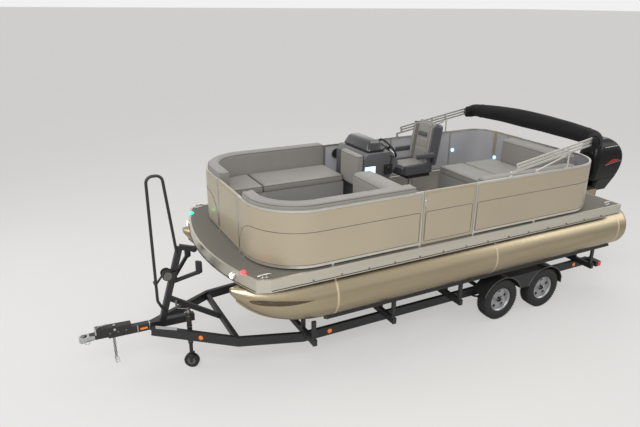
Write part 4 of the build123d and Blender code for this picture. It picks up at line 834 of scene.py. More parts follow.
# %% [markdown]
# ## Helm chair
# The captain's chair is a moulded shell with thick side bolsters in charcoal, a lighter middle, a
# rolled front edge and flip-up arm rests. Its seat and back are pads of their own, and the back's
# pads are drawn flat and then leaned into place. A row whose range starts beyond the middle is made
# on both sides.

# %% Helm chair
CHAIR_X, CHAIR_Y, CHAIR_LOW, CHAIR_LEAN = 2450.0, -470.0, 1794.0, 8.5
upright = Matrix(((0, 0, 1), (1, 0, 0), (0, 1, 0))).to_4x4()
back_place = (Matrix.Translation(at(CHAIR_X - 215, CHAIR_Y, CHAIR_LOW + 150))
              @ Matrix.Rotation(radians(-CHAIR_LEAN), 4, "Y") @ upright)


def chair_at(x, y, z):
    """Point by its distance from the chair's pedestal and from the seat's underside."""
    return at(CHAIR_X + x, CHAIR_Y + y, CHAIR_LOW + z)


def both_sides(across_range):
    """A range that crosses the middle as it is, or one beside it on both sides."""
    if across_range[0] < 0:
        return [across_range]
    return [sorted(side * edge for edge in across_range) for side in SIDES]


seat_seam = [([(CHAIR_X + 40, CHAIR_Y - 150), (CHAIR_X + 40, CHAIR_Y + 150)], 8, 5)]
back_seams = [([(-120, v), (120, v)], 8, 7) for v in (250, 392)]
# Columns: x, y and height ranges, corner radius, finish, roll, crown, voxel, piping, channels
SEAT_PADS = [
    ((-190, 262), (-178, 178), (92, 212), 50, vinyl_light, 36, 8, 11, True, seat_seam),
    ((-215, 272), (180, 243), (70, 222), 26, vinyl_dark, 28, 3, 11, True, ()),
    ((205, 285), (-178, 178), (66, 180), 24, vinyl_dark, 34, 2, 11, False, ()),
    ((-200, 112), (238, 296), (304, 386), 26, vinyl_dark, 27, 3, 9, False, ()),
]
# Columns: range across, range up the back, range of its thickness, then as above
BACK_PADS = [
    ((-160, 160), (10, 640), (0, 105), 60, vinyl_light, 40, 10, 11, True, back_seams),
    ((162, 224), (30, 590), (2, 140), 30, vinyl_light, 32, 4, 11, True, ()),
    ((220, 246), (24, 600), (-40, 112), 12, vinyl_dark, 12, 1, 8, False, ()),
    ((-108, 108), (408, 484), (96, 118), 14, vinyl_dark, 10, 1, 8, False, ()),
    ((-232, 232), (20, 620), (-70, 0), 60, vinyl_dark, 30, 3, 13, False, ()),
]
parts = []
for x_range, y_range, z_range, radius, material, roll, crown, voxel, piping, channels in SEAT_PADS:
    for ys in both_sides(y_range):
        outline = rounded_box([CHAIR_X + x for x in x_range], [CHAIR_Y + y for y in ys], radius)
        low, high = [CHAIR_LOW + z for z in z_range]
        parts += pad(outline, low, high, material, roll, crown, BOAT, channels, voxel, piping)
for u_range, v_range, w_range, radius, material, roll, crown, voxel, piping, channels in BACK_PADS:
    for us in both_sides(u_range):
        outline = rounded_box(us, v_range, radius)
        parts += pad(outline, *w_range, material, roll, crown, back_place, channels, voxel, piping)
joined("chair_cushions", parts, "chair", ("helm_chair",))
shell = Shapes()
shell.block(chair_at(-200, -190, 12), chair_at(200, 190, 68))
shell.block(chair_at(-150, -110, 1), chair_at(150, 110, 14))
for side in SIDES:
    shell.block(chair_at(-215, side * 252 - 8, 225), chair_at(-165, side * 252 + 8, 335))
    shell.turned(chair_at(-188, side * 240, 338), (0, side, 0), [(0, 0.024), (0.03, 0.024), (0.034, 0.018)])
shell.piece("chair_shell", black_plastic, "chair", "rubber", bevel=0.006)

# %% [markdown]
# ## Boot of the folded sun top
# The folded top lies rolled in a canvas boot that hangs between its two side tubes. Gravity pulls
# the cloth down where nothing fills it, the zip side is flatter, and the ends are gathered. The
# sleeve is drawn section by section along the fold, with folds that run along it. Straps tie it at
# four places, and two crutches on the fence carry the side tubes.

# %% Boot
PIVOT_X, PIVOT_Z, FOLD = 2190.0, 2237.0, radians(9.0)
SIDE_Y, BEND_R = 1251.3, 155.0
RING_POINTS, ZIP_POINT, HALF_STEPS = 22, 17, 12


def folded(along, up, y):
    """Point by distance aft of the top's pivot, height over its first tube, and side."""
    return at(PIVOT_X - cos(FOLD) * along + sin(FOLD) * up, y, PIVOT_Z + sin(FOLD) * along + cos(FOLD) * up)


def boot_path():
    """Middle line of the boot in plan, from one side tube to the other: (distance aft, side)."""
    half = [(1400.0, SIDE_Y), (1418.0, SIDE_Y)] + arc((1420.0, SIDE_Y - BEND_R), BEND_R, 90, 10, 9)
    corner_along, corner_y = half[-1]
    for i in range(1, HALF_STEPS + 1):
        half.append((corner_along + 30.0 * sin(pi / 2 * i / HALF_STEPS), corner_y * (1 - i / HALF_STEPS)))
    return half + [(a, -y) for a, y in half[:-1]][::-1]


line = boot_path()
sections = []
for i, (along, y) in enumerate(line):
    before, after = line[max(i - 1, 0)], line[min(i + 1, len(line) - 1)]
    way = Vector((before[0] - after[0], after[1] - before[1], 0)).normalized()
    side_way = Vector((way.y, -way.x, 0))
    gathered = min(1.0, 0.6 + 0.07 * min(i, len(line) - 1 - i))
    full = 1 - abs(y / SIDE_Y) ** 2.5
    middle = folded(along, 22.0 + 38.0 * full, y)
    section = []
    for k in range(RING_POINTS):
        a = 2 * pi * k / RING_POINTS
        wrinkle = noise.noise(Vector((i * 0.22, cos(a) * 2.3, sin(a) * 2.3))) * 9.0
        fold_line = 4.0 * cos(3 * a + i * 0.15)
        sag = 1.0 if sin(a) > 0 else 1.06
        wide = (92.0 + 6.0 * full + wrinkle + fold_line) * gathered
        tall = (94.0 + 32.0 * full + wrinkle - fold_line) * gathered * sag
        section.append(middle + side_way * (cos(a) * wide / 1000) + Vector((0, 0, sin(a) * tall / 1000)))
    sections.append(section)
sleeve = Shapes()
sleeve.skin(sections)
boot = sleeve.piece("boot_sleeve", canvas, "top", "boot_canvas")
cloth = boot.modifiers.new("soft", "SUBSURF")
cloth.levels = cloth.render_levels = 1
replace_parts(boot, "top_boot")
zip_line = Shapes()
zip_line.rod([section[ZIP_POINT] for section in sections[1:-1]], 0.0045, sides=6, flat=0.6)
zip_line.piece("boot_zip", black_plastic, "top", "boot_canvas")
straps = Shapes()
for section in (sections[3], sections[12], sections[-13], sections[-4]):
    centre = sum(section, Vector()) / RING_POINTS
    straps.rod([centre + (p - centre) * 1.02 for p in section], 0.009, sides=6, closed=True, flat=0.25)
straps.piece("boot_straps", canvas, "top", "boot_canvas")
crutches = Shapes()
for side in SIDES:
    foot = at(1208, side * 1249, 2186.5)
    crutches.block(foot - Vector((0.03, 0.0125, 0)), foot + Vector((0.03, 0.0125, 0.006)))
    crutches.rod([foot, foot + Vector((0, 0, 0.176))], 0.011, sides=14)
    cradle = [foot + Vector((-0.024 * cos(pi * i / 8), 0, 0.186 - 0.014 * sin(pi * i / 8))) for i in range(9)]
    crutches.rod(cradle, 0.005, sides=8)
crutches.piece("top_crutches", rail_metal, "root", "rail_aluminium")
print("boot sections", len(line))

# %% [markdown]
# ## Rows and rings of small parts
# Bolts, nuts and tread blocks repeat, so Geometry Nodes place them. One tree sets copies of a part
# round an axle, another sets a part at listed points along their normals. The result is made a
# plain mesh, because the model is exported without modifiers.

# %% Geometry Nodes trees


def new_tree(name, inputs):
    """Geometry Nodes tree with named inputs, and the node that gives them."""
    tree = bpy.data.node_groups.new(name, "GeometryNodeTree")
    tree.interface.new_socket("Geometry", in_out="INPUT", socket_type="NodeSocketGeometry")
    tree.interface.new_socket("Geometry", in_out="OUTPUT", socket_type="NodeSocketGeometry")
    for label, kind in inputs:
        tree.interface.new_socket(label, in_out="INPUT", socket_type=kind)
    return tree, add_node(tree, "NodeGroupInput").outputs


def close_tree(tree, geometry, material_socket):
    """Realize the copies, set their material and end the tree."""
    real = add_node(tree, "GeometryNodeRealizeInstances", {0: geometry})
    painted = add_node(tree, "GeometryNodeSetMaterial", {0: real.outputs[0], 2: material_socket})
    add_node(tree, "NodeGroupOutput", {0: painted.outputs[0]})


around, given = new_tree("round_an_axle", [("Count", "NodeSocketInt"), ("Centre", "NodeSocketVector"),
                                           ("Material", "NodeSocketMaterial")])
spots = add_node(around, "GeometryNodeMeshLine", {"Count": given["Count"], "Offset": (0, 0, 0)})
index = add_node(around, "GeometryNodeInputIndex")
share = add_node(around, "ShaderNodeMath", {0: index.outputs[0], 1: given["Count"]}, operation="DIVIDE")
angle = add_node(around, "ShaderNodeMath", {0: share.outputs[0], 1: 2 * pi}, operation="MULTIPLY")
turned = add_node(around, "ShaderNodeCombineXYZ", {1: angle.outputs[0]})
copies = add_node(around, "GeometryNodeInstanceOnPoints",
                  {"Points": spots.outputs[0], "Instance": given["Geometry"], "Rotation": turned.outputs[0]})
moved = add_node(around, "GeometryNodeTranslateInstances",
                 {0: copies.outputs[0], 2: given["Centre"], "Local Space": False})
close_tree(around, moved.outputs[0], given["Material"])

row_tree, given = new_tree("part_at_points", [("Part", "NodeSocketObject"),
                                              ("Material", "NodeSocketMaterial")])
part = add_node(row_tree, "GeometryNodeObjectInfo", {"Object": given["Part"]})
way = add_node(row_tree, "GeometryNodeInputNamedAttribute", {"Name": "way"}, data_type="FLOAT_VECTOR")
aligned = add_node(row_tree, "FunctionNodeAlignRotationToVector", {"Vector": way.outputs[0]}, axis="Z")
copies = add_node(row_tree, "GeometryNodeInstanceOnPoints",
                  {"Points": given["Geometry"], "Instance": part.outputs["Geometry"],
                   "Rotation": aligned.outputs[0]})
close_tree(row_tree, copies.outputs[0], given["Material"])

# %% Running a tree


def grown(holder, tree, values, name, body):
    """Run a tree on an object and keep the result as a plain piece."""
    modifier = holder.modifiers.new("grow", "NODES")
    modifier.node_group = tree
    for item in tree.interface.items_tree:
        if item.item_type == "SOCKET" and item.in_out == "INPUT" and item.name in values:
            modifier[item.identifier] = values[item.name]
    mesh = evaluated_mesh(holder)
    mesh.name = name
    return riding(linked(name, mesh), body)


def parts_at(name, part_object, spots, material, body):
    """Copies of a part at (point, way) rows."""
    holder = new_object(name + "_points", [p for p, w in spots])
    ways = holder.data.attributes.new("way", "FLOAT_VECTOR", "POINT")
    ways.data.foreach_set("vector", [c for p, w in spots for c in w])
    made = grown(holder, row_tree, {"Part": part_object, "Material": material}, name, body)
    print(name, len(spots), "copies, lowest at", round(min(v.co.z for v in made.data.vertices), 3))


# %% [markdown]
# ## Wheels
# A trailer tyre is a ring with a grooved tread and lugs at its shoulders. The rim is pressed steel
# in silver paint, with rolled beads at its edge, five oval openings, five nuts and a black cap.
# The openings are dark plates of painted shade a hair above the CAD disc, each with a bead round it,
# and a dark disc of painted shade lies round the cap.

# %% Tyres, nuts and caps
TYRE_R, WHEEL_MID = 303.0, 988.0
LUGS, NUTS = 52, 5
AXLES = (1893.0, 1078.0)
# Columns: distance from the tyre's middle plane, radius
TYRE_PROFILE = [
    (-66, 172.5), (-78, 180), (-86, 200), (-89.5, 232), (-86, 262), (-78, 282), (-71, 290), (-64, 296),
    (-40, 301), (-39, 293), (-32, 293), (-31, 302), (-5, 303), (-4, 294), (4, 294), (5, 303), (31, 302),
    (32, 293), (39, 293), (40, 301), (64, 296), (71, 290), (78, 282), (86, 262), (89.5, 232), (88, 226),
    (89, 222), (86, 200), (78, 180), (66, 172.5),
]
# Columns: radius, distance out from the wheel's middle, thickness
RIM_BEADS = [(0.1665, 0.0665, 0.0045), (0.1455, 0.026, 0.004), (0.082, 0.0255, 0.003)]
WHEELS = [("port_front", AXLES[0], 1), ("port_rear", AXLES[1], 1),
          ("starboard_front", AXLES[0], -1), ("starboard_rear", AXLES[1], -1)]
UP, AFT_TO_BOW = Vector((0, 0, 1)), Vector((1, 0, 0))
for wheel, axle_x, side in WHEELS:
    hub = at(axle_x, side * WHEEL_MID, TYRE_R)
    body = "wheel_" + wheel
    outward = Vector((0, side, 0))
    tyre = Shapes()
    tyre.turned(hub, (0, 1, 0), [(d / 1000, r / 1000) for d, r in TYRE_PROFILE], 72, closed=True)
    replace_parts(tyre.piece("tyre_tread_" + wheel, tyre_rubber, body, "tyre_rubber"), "tyre_" + wheel)
    lug = Shapes()
    for edge in SIDES:
        lug.block((-0.009, edge * 0.045, 0.283), (0.009, edge * 0.076, 0.2985))
    grown(plain("lug", lug), around, {"Count": LUGS, "Centre": hub, "Material": tyre_rubber},
          "tread_lugs_" + wheel, body)
    nut = Shapes()
    nut.turned(outward * 0.0405 + UP * 0.038, outward, [(0, 0.0095), (0.014, 0.0095), (0.018, 0.006)], 6)
    grown(plain("nut", nut), around, {"Count": NUTS, "Centre": hub, "Material": bright_trim},
          "wheel_nuts_" + wheel, body)
    cap = Shapes()
    cap.turned(hub + outward * 0.0442, outward, [(0, 0.027), (0.022, 0.025), (0.03, 0.014), (0.031, 0.004)])
    cap.piece("hub_cap_" + wheel, black_plastic, body, "rubber")
    beads, shadows = Shapes(), Shapes()
    for radius, along, thick in RIM_BEADS:
        beads.rod(circle(hub + outward * along, AFT_TO_BOW, UP, radius, 48), thick, sides=8, closed=True)
    # Painted shade: the dark oval plates stand for the shade in the openings, the disc for the shade round the
    # cap.
    for k in range(5):
        a = radians(90 + 72 * k)
        to_rim, along_rim = Vector((cos(a), 0, sin(a))), Vector((-sin(a), 0, cos(a)))
        centre = hub + to_rim * 0.118 + outward * 0.0245
        beads.rod(circle(centre, along_rim * 0.03, to_rim * 0.024, 1, 20), 0.0022, sides=5, closed=True)
        shadows.skin([circle(centre + outward * lift, along_rim * 0.03, to_rim * 0.024, 1, 20)
                      for lift in (-0.006, 0.0006)])
    shadows.turned(hub + outward * 0.0442, outward, [(-0.002, 0.05), (0.0008, 0.05)], sides=36)
    beads.piece("rim_beads_" + wheel, wheel_paint, body, "wheel_silver")
    # The dark plates and disc are painted shade.
    shadows.piece("rim_openings_" + wheel, black_plastic, body, "rubber")
print("wheels", len(WHEELS))

# %% [markdown]
# ## Marks on curved skins
# Stripes on the motor's cowl and the dark patches of painted shade in the pressed strakes on the
# pontoons' noses lie on curved CAD surfaces. They are found by looking straight at the surface
# from outside, point by point, and laid a hair above it.

# %% Looking at a surface


def skin_of(node):
    """Search tree of a CAD node's surface."""
    work = bmesh.new()
    work.from_mesh(frame["nodes"][node].data)
    tree = BVHTree.FromBMesh(work)
    work.free()
    return tree


def laid(skin, start, way, lift):
    """Point a little above the surface that is met from start along way."""
    spot, normal, _, _ = skin.ray_cast(start, way.normalized())
    if spot is None:
        return None
    if normal.dot(way) > 0:
        normal = -normal
    return spot + normal * lift


def ribbon(shape, skin, rows, lift, thick):
    """Closed strip on a surface: each row is a (start, way) pair for its low and its high edge."""
    rings = []
    for low, high in rows:
        ring = [laid(skin, *low, lift), laid(skin, *high, lift), laid(skin, *high, lift - thick),
                laid(skin, *low, lift - thick)]
        if None not in ring:
            rings.append(ring)
    shape.skin(rings)


# %% [markdown]
# ## Outboard motor
# The cowl is enamelled black, with a thin silver line round its crown, a red accent and a silver
# one on each flank, and a rubber seal where it meets the leg. Bolts and levers hold the clamp.

# %% Outboard motor
cowl_skin = skin_of("motor_cowl")
COWL_X, COWL_FAR = -1130.0, 600
LINE_LIFT, LINE_THICK = 0.0012, 0.004


def round_cowl(z_low, z_high, start, end, steps=36):
    """Rows that look at the cowl from outside between two angles, 0 being aft."""
    rows = []
    for i in range(steps + 1):
        share = i / steps
        a = radians(180 + start + (end - start) * share)
        rows.append([(at(COWL_X + COWL_FAR * cos(a), COWL_FAR * sin(a), z(share)),
                      Vector((-cos(a), -sin(a), 0)) * (COWL_FAR / 1000)) for z in (z_low, z_high)])
    return rows


silver, red, seam = Shapes(), Shapes(), Shapes()
crown = round_cowl(lambda s: 1985 + 10 * sin(pi * s), lambda s: 1993 + 10 * sin(pi * s), -130, 130)
ribbon(silver, cowl_skin, crown, LINE_LIFT, LINE_THICK)
for side in SIDES:
    flank = round_cowl(lambda s: 1698 + 46 * s, lambda s: 1706 + 52 * s + 40 * sin(pi * s), side * 112,
                       side * 40, 18)
    ribbon(red, cowl_skin, flank, LINE_LIFT, LINE_THICK)
    flank = round_cowl(lambda s: 1684 + 46 * s, lambda s: 1689 + 47 * s, side * 118, side * 34, 18)
    ribbon(silver, cowl_skin, flank, LINE_LIFT, LINE_THICK)
ribbon(seam, cowl_skin, round_cowl(lambda s: 1452, lambda s: 1462, -178, 178, 60), 0.003, 0.006)
silver.piece("cowl_silver_lines", bright_trim, "motor", "motor_paint")
red.piece("cowl_red_accents", red_enamel, "motor", "motor_paint")
seam.piece("cowl_seal", rubber, "motor", "rubber")
clamps = Shapes()
for side in SIDES:
    clamps.turned(at(-712, side * 105, 1392), (0, side, 0), [(0, 0.02), (0.016, 0.02), (0.02, 0.014)], 6)
    clamps.rod([at(-780, side * 60, 1330), at(-860, side * 55, 1215)], 0.011)
    for z in (1340.0, 1290.0, 1130.0):
        clamps.turned(at(-700, side * 80, z), (1, 0, 0), [(0, 0.011), (0.008, 0.011), (0.012, 0.008)], 6)
clamps.piece("clamp_bolts", zinc, "root", "zinc_steel")

# %% [markdown]
# ## Pontoon seams and strakes
# Each pontoon is welded from lengths of tube, with a band over each weld, and its nose cone has a
# long pressed strake on both flanks. Its shade is painted as a dark patch on the skin that is full
# in the middle and fine at its ends.

# %% Pontoon seams and strakes
PONTOON_Y, PONTOON_Z = 967.0, 1077.0
# Columns: distance along the tube, radius
WELD_BAND = [(-0.017, 0.3), (-0.017, 0.3062), (-0.012, 0.3082), (0.012, 0.3082), (0.017, 0.3062),
             (0.017, 0.3)]
STRAKE_HALF, STRAKE_FULL, STRAKE_LEAST = 30, 0.62, 1.5


def strake_half(t):
    """Half height of a strake in millimetres, from its aft end at 0 to its tip at 1."""
    if t > STRAKE_FULL:
        blunt = sqrt(max(1 - ((t - STRAKE_FULL) / (1 - STRAKE_FULL)) ** 4, 0.0))
        return max(STRAKE_HALF * sin(pi * min(t * 1.25, 1.0) / 2) * blunt, STRAKE_LEAST)
    return max(STRAKE_HALF * sin(pi * t / (2 * STRAKE_FULL)), STRAKE_LEAST)


bands, strake_shades = Shapes(), Shapes()
for side, node in ((-1, "pontoon_starboard"), (1, "pontoon_port")):
    for x in (-90.0, 2270.0, 4622.0):
        bands.turned(at(x, side * PONTOON_Y, PONTOON_Z), (1, 0, 0), WELD_BAND, 72, closed=True)
    nose_skin = skin_of(node)
    for look_side in SIDES:
        rows = []
        for t in [i / 24 for i in range(25)]:
            x, middle_z = 4920 + 700 * t, 1134 + 76 * t * t
            rows.append([(at(x, side * PONTOON_Y + look_side * 600, middle_z + strake_half(t) * k / 3),
                          Vector((0, -look_side, 0))) for k in range(-3, 4)])
        for k in range(6):
            ribbon(strake_shades, nose_skin, [(row[k], row[k + 1]) for row in rows], 0.0015, 0.004)
bands.piece("pontoon_weld_seams", weld_metal, "root", "hull_aluminium")
# Dark patches of painted shade, laid on the nose skin where the pressed strakes lie in shade.
strake_shades.piece("nose_strakes", strake_shade_paint, "root", "hull_aluminium")

# %% [markdown]
# ## Deck fittings
# The deck has an extruded edge with a rubber insert, cleats near the corners, red and green bow
# lights, a docking lamp each side of the bow, polished strips on the gate posts and a latch on the
# side gate and the bow gate. The bow edge is one arc, whose radius follows from its width and rise.

# %% Deck fittings
DECK_TOP, BEAM_HALF = 1510.0, 1295.0
BOW_HALF, BOW_RISE, BOW_END = 1241.0, 235.0, 5820.0
BOW_R = (BOW_HALF ** 2 + BOW_RISE ** 2) / (2 * BOW_RISE)


def on_bow(angle, z, step=0.0):
    """Point of the bow edge at an angle from ahead, a step outside it."""
    return at(BOW_END - BOW_R + (BOW_R + step) * cos(angle), (BOW_R + step) * sin(angle), z)


insert = Shapes()
for side in SIDES:
    insert.block(at(10, side * (BEAM_HALF + 1) - 2, 1376), at(5432, side * (BEAM_HALF + 1) + 2, 1384))
reach = asin(1228.0 / BOW_R)
insert.rod([on_bow(reach * (i / 14 - 1), 1380, 2.5) for i in range(29)], 0.004, sides=8)
insert.piece("edge_insert", rubber, "root", "rubber", bevel=0.001)
cleats = Shapes()
for x, y in ((5480.0, 1215.0), (5480.0, -1215.0), (200.0, 1215.0), (200.0, -1215.0)):
    cleats.block(at(x - 45, y - 14, DECK_TOP), at(x + 45, y + 14, DECK_TOP + 6))
    for dx in (-22, 22):
        cleats.rod([at(x + dx, y, DECK_TOP + 4), at(x + dx, y, DECK_TOP + 34)], 0.007)
    cleats.rod([at(x + dx, y, DECK_TOP + up) for dx, up in ((-78, 30), (-40, 38), (40, 38), (78, 30))],
               [0.005, 0.009, 0.009, 0.005])
cleats.piece("cleats", bright_trim, "root", "rail_aluminium", bevel=0.001)
posts = Shapes()
posts.block(at(3531, 1262.0, 1560), at(3550, 1265.5, 2165))
posts.block(at(2726, 1262.0, 1560), at(2738, 1264.5, 2165))
for y in (-263.0, 463.0):
    posts.block(at(5480.2, y - 9, 1560), at(5483, y + 9, 2165))
posts.piece("gate_post_strips", bright_trim, "root", "rail_aluminium", bevel=0.0008)
# Columns: gate, two corners of the plate, place and way of the knob
LATCHES = [
    ("side_gate", (3490, 1262.5, 2010), (3518, 1268, 2110), (3504, 1268, 2078), (0, 1, 0)),
    ("bow_gate", (5480.5, -225, 2010), (5486, -197, 2110), (5486, -211, 2078), (1, 0, 0)),
]
for gate, low, high, knob, way in LATCHES:
    latch = Shapes()
    latch.block(at(*low), at(*high))
    latch.turned(at(*knob), way, [(0, 0.010), (0.006, 0.010), (0.012, 0.006)])
    latch.piece(gate + "_latch", bright_trim, gate, "rail_aluminium", bevel=0.001)
for side, lens_finish, lamp_name in ((1, red_lamp, "port"), (-1, green_lamp, "starboard")):
    lamp = Shapes()
    lamp.turned(on_bow(side * asin(1015.0 / BOW_R), DECK_TOP, -30), (0, 0, 1),
                [(0.0, 0.03), (0.01, 0.03), (0.024, 0.022), (0.03, 0.008), (0.031, 0.001)])
    lamp.piece("bow_light_" + lamp_name, lens_finish, "root", "lamp_red")
docks, bezels = Shapes(), Shapes()
for side in SIDES:
    a = side * asin(870.0 / BOW_R)
    way = Vector((cos(a), sin(a), 0))
    docks.turned(on_bow(a, 1436, 20), way, [(0, 0.03), (0.008, 0.03), (0.014, 0.02), (0.016, 0.002)])
    bezels.turned(on_bow(a, 1436), way, [(0.0005, 0.044), (0.012, 0.043), (0.024, 0.036), (0.026, 0.031),
                                         (0.018, 0.03)])
docks.piece("docking_lenses", clear_lens, "root", "lamp_clear")
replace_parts(bezels.piece("docking_bezels", bright_trim, "root", "rail_aluminium"), "bow_lamps")

# %% [markdown]
# ## Trailer fittings
# On the powder-coated frame sit amber reflectors, two polished bands round the tongue, a bare
# plate on its port leg, tail lamps with black backs and red ends, and zinc bolts.

# %% Reflectors, bands and tail lamps
TONGUE_OUT, TONGUE_AHEAD = Vector((0.5538, 0.8326, 0)), Vector((0.8326, -0.5538, 0))
reflectors, tongue_bands, plate = Shapes(), Shapes(), Shapes()
for side in SIDES:
    for x in (4500.0, 200.0):
        reflectors.turned(at(x, side * 845, 405), (0, side, 0),
                          [(0.0005, 0.03), (0.006, 0.03), (0.009, 0.024), (0.01, 0.004)])
    reflectors.block(at(6518, side * 38.2 - 3, 548), at(6602, side * 38.2 + 3, 574))
reflectors.turned(at(5986.4, 413.1, 480), TONGUE_OUT,
                  [(0.0003, 0.028), (0.006, 0.028), (0.009, 0.022), (0.01, 0.004)])
# The reflectors' glow is a painted reflection.
reflectors.piece("amber_reflectors", reflector_painted_glow, "root", "lamp_red", bevel=0.001)
for x in (6490.0, 6630.0):
    tongue_bands.block(at(x - 5, -41, 513), at(x + 5, 41, 613))
tongue_bands.piece("tongue_bands", bright_trim, "root", "zinc_steel", bevel=0.002)
middle = at(6330, 181, 578) + Vector((0.551, 0.833, 0.044)) * 0.0012
plate_half = Vector((0.13, 0.0015, 0.02))
plate.block(middle - plate_half, middle + plate_half, turn=Matrix.Rotation(radians(-33.63), 3, "Z"))
plate.piece("frame_plate", wheel_paint, "root", "zinc_steel", bevel=0.0005)
tail, tail_back = Shapes(), Shapes()
# Columns: x, distance from the middle and height, each from low to high
RED_LENSES = [
    ((-230, -219), (806, 994), (372, 380)), ((-230, -172), (806, 840), (372, 438)),
    ((-230, -172), (960, 994), (372, 438)), ((-226, -160), (999, 1004), (370, 440)),
    ((-121, -116), (803, 845), (370, 440)),
]
BLACK_BACKS = [((-228, -172), (840, 960), (380, 437)), ((-173, -160), (798, 1002), (364, 446))]
for shape, rows in ((tail, RED_LENSES), (tail_back, BLACK_BACKS)):
    for side in SIDES:
        for xs, ys, zs in rows:
            shape.block(at(xs[0], side * ys[0], zs[0]), at(xs[1], side * ys[1], zs[1]))
tail.piece("tail_lenses", red_lens, "root", "lamp_red", bevel=0.004)
tail_back.piece("tail_lamp_backs", black_plastic, "root", "rubber", bevel=0.003)

# %% Bolts
BUNK_XS, DECK_BOLTS = (180.0, 2700.0, 3750.0, 4850.0), range(400, 5300, 350)
bolts = []
for side in SIDES:
    bolts += [(at(x + dx, side * y, 538.5), (0, 0, 1))
              for x in BUNK_XS for dx in (-15, 15) for y in (1120, 795)]
    bolts += [(at(x + dx, side * 842.5, 345), (0, side, 0)) for x in AXLES for dx in (-300.0, 300.0)]
    bolts += [(at(x, side * (BEAM_HALF + 0.2), 1398), (0, side, 0)) for x in DECK_BOLTS]
head = Shapes()
head.turned(Vector(), UP, [(-0.001, 0.011), (0.002, 0.011), (0.002, 0.0085), (0.009, 0.0085), (0.011, 0.006)],
            sides=6)
bolt_part = plain("hex_bolt", head)
parts_at("frame_bolts", bolt_part, bolts, zinc, "root")
bpy.data.objects.remove(bolt_part)

# %% [markdown]
# ## Winch, bow pads and jack
# The winch on its stand shows a gear, a strap rolled on the drum and a crank with a rubber grip.
# Rubber pads meet the pontoons' bows. The jack has a crank on top, rings on its leg and a hub each
# side of its castor.

# %% Winch, bow pads and jack
WINCH_X, WINCH_Z = 6235.0, 1180.0
gear, strap_roll, grip = Shapes(), Shapes(), Shapes()
gear.turned(at(WINCH_X, 56, WINCH_Z), (0, 1, 0), [(0, 0.05), (0.012, 0.05), (0.012, 0.018), (0.02, 0.018)],
            sides=40)
gear.turned(at(WINCH_X, -60, WINCH_Z), (0, -1, 0), [(0, 0.024), (0.03, 0.024), (0.034, 0.02)])
gear.rod([at(WINCH_X, -83, WINCH_Z), at(WINCH_X + 122, -83, WINCH_Z - 152)], 0.008)
gear.piece("winch_gear", zinc, "root", "zinc_steel", bevel=0.0008)
grip.turned(at(WINCH_X + 120, -84, WINCH_Z - 150), (0, -1, 0),
            [(0, 0.014), (0.01, 0.018), (0.08, 0.018), (0.09, 0.012)])
grip.piece("winch_grip", rubber, "root", "rubber")
strap_roll.turned(at(WINCH_X, -44, WINCH_Z), (0, 1, 0), [(0, 0.05), (0.088, 0.05)], sides=32)
strap_roll.piece("winch_strap_roll", canvas, "root", "boot_canvas")
pads = Shapes()
for side in SIDES:
    pads.turned(at(5898, side * 250, 1240), UP, [(0, 0.02), (0.01, 0.026), (0.13, 0.026), (0.14, 0.02)])
pads.turned(at(5893, -32, 1440), (0, 1, 0), [(0, 0.022), (0.004, 0.034), (0.06, 0.034), (0.064, 0.022)])
pads.piece("bow_pads", rubber, "root", "rubber")


def jack_at(z):
    """Point on the jack's axis at a height in millimetres."""
    return at(6066.93, 227.34, z)


jack = Shapes()
jack.turned(jack_at(745), UP, [(0, 0.03), (0.02, 0.031), (0.03, 0.02), (0.036, 0.012), (0.06, 0.012)])
crank, handle = jack_at(792), jack_at(792) + TONGUE_AHEAD * 0.14
jack.rod([crank, crank + TONGUE_AHEAD * 0.13, handle + UP * 0.02], 0.007)
jack.rod([handle + UP * 0.01, handle + UP * 0.1], 0.013)
for z in (360.0, 420.0, 560.0, 700.0):
    jack.turned(jack_at(z), UP, [(0, 0.0302), (0.001, 0.033), (0.009, 0.033), (0.01, 0.0302)])
jack.piece("jack_crank", zinc, "jack", "zinc_steel", bevel=0.0008)
castor = Shapes()
for end in SIDES:
    castor.turned(jack_at(90) + TONGUE_OUT * 0.025 * end, TONGUE_OUT * end,
                  [(0, 0.05), (0.0025, 0.05), (0.003, 0.016), (0.005, 0.016)])
castor.piece("castor_hub", zinc, "jack_castor", "zinc_steel")

# %% [markdown]
# ## Coupler, chains, fenders and brakes
# The coupler ends in a formed nose over the ball, with a latch lever, bolts and a catch below. Each
# safety chain ends in a hook. The fenders have a rolled lip along their arches and a mud flap, and
# a brake drum sits behind each wheel.

# %% Coupler, chains, fenders and brakes
BALL_X = 7228
coupler_bits = Shapes()
coupler_bits.rod([at(7090, 0, 662), at(7050, 0, 690), at(6960, 0, 696)], 0.009, flat=0.7)
coupler_bits.turned(at(BALL_X, 0, 607), UP, [(0, 0.03), (0.012, 0.028), (0.02, 0.012)])
for x in (6760.0, 6850.0, 6940.0):
    for side in SIDES:
        coupler_bits.turned(at(x, side * 46, 600), (0, side, 0), [(0, 0.012), (0.008, 0.012), (0.01, 0.009)],
                            sides=6)
coupler_bits.piece("coupler_latch", zinc, "root", "zinc_steel", bevel=0.0008)
nose = Shapes()
nose.turned(at(BALL_X, 0, 607), UP, [(-0.06, 0.0448), (-0.06, 0.0462), (0.0, 0.0462), (0.003, 0.043),
                                     (0.003, 0.002), (0.0005, 0.002)], 72, closed=True)
nose.block(at(7106, -47, 608), at(BALL_X, 47, 610))
for side in SIDES:
    nose.block(at(7106, side * 45.5, 566), at(BALL_X, side * 47, 609))
nose.block(at(7086, -46.5, 612), at(7102, 46.5, 679))
nose.turned(at(6886, 46, 636), (0, 1, 0), [(0, 0.017), (0.008, 0.017), (0.012, 0.013)], sides=6)
nose.turned(at(6886, 20, 677.5), UP, [(0, 0.016), (0.007, 0.016), (0.009, 0.012)], sides=6)
nose.rod([at(x, 0, z) for x, z in ((7160, 566), (7163, 512), (7172, 500), (7204, 499), (7214, 512))], 0.004)
nose.piece("coupler_nose", wheel_paint, "root", "zinc_steel", bevel=0.001)
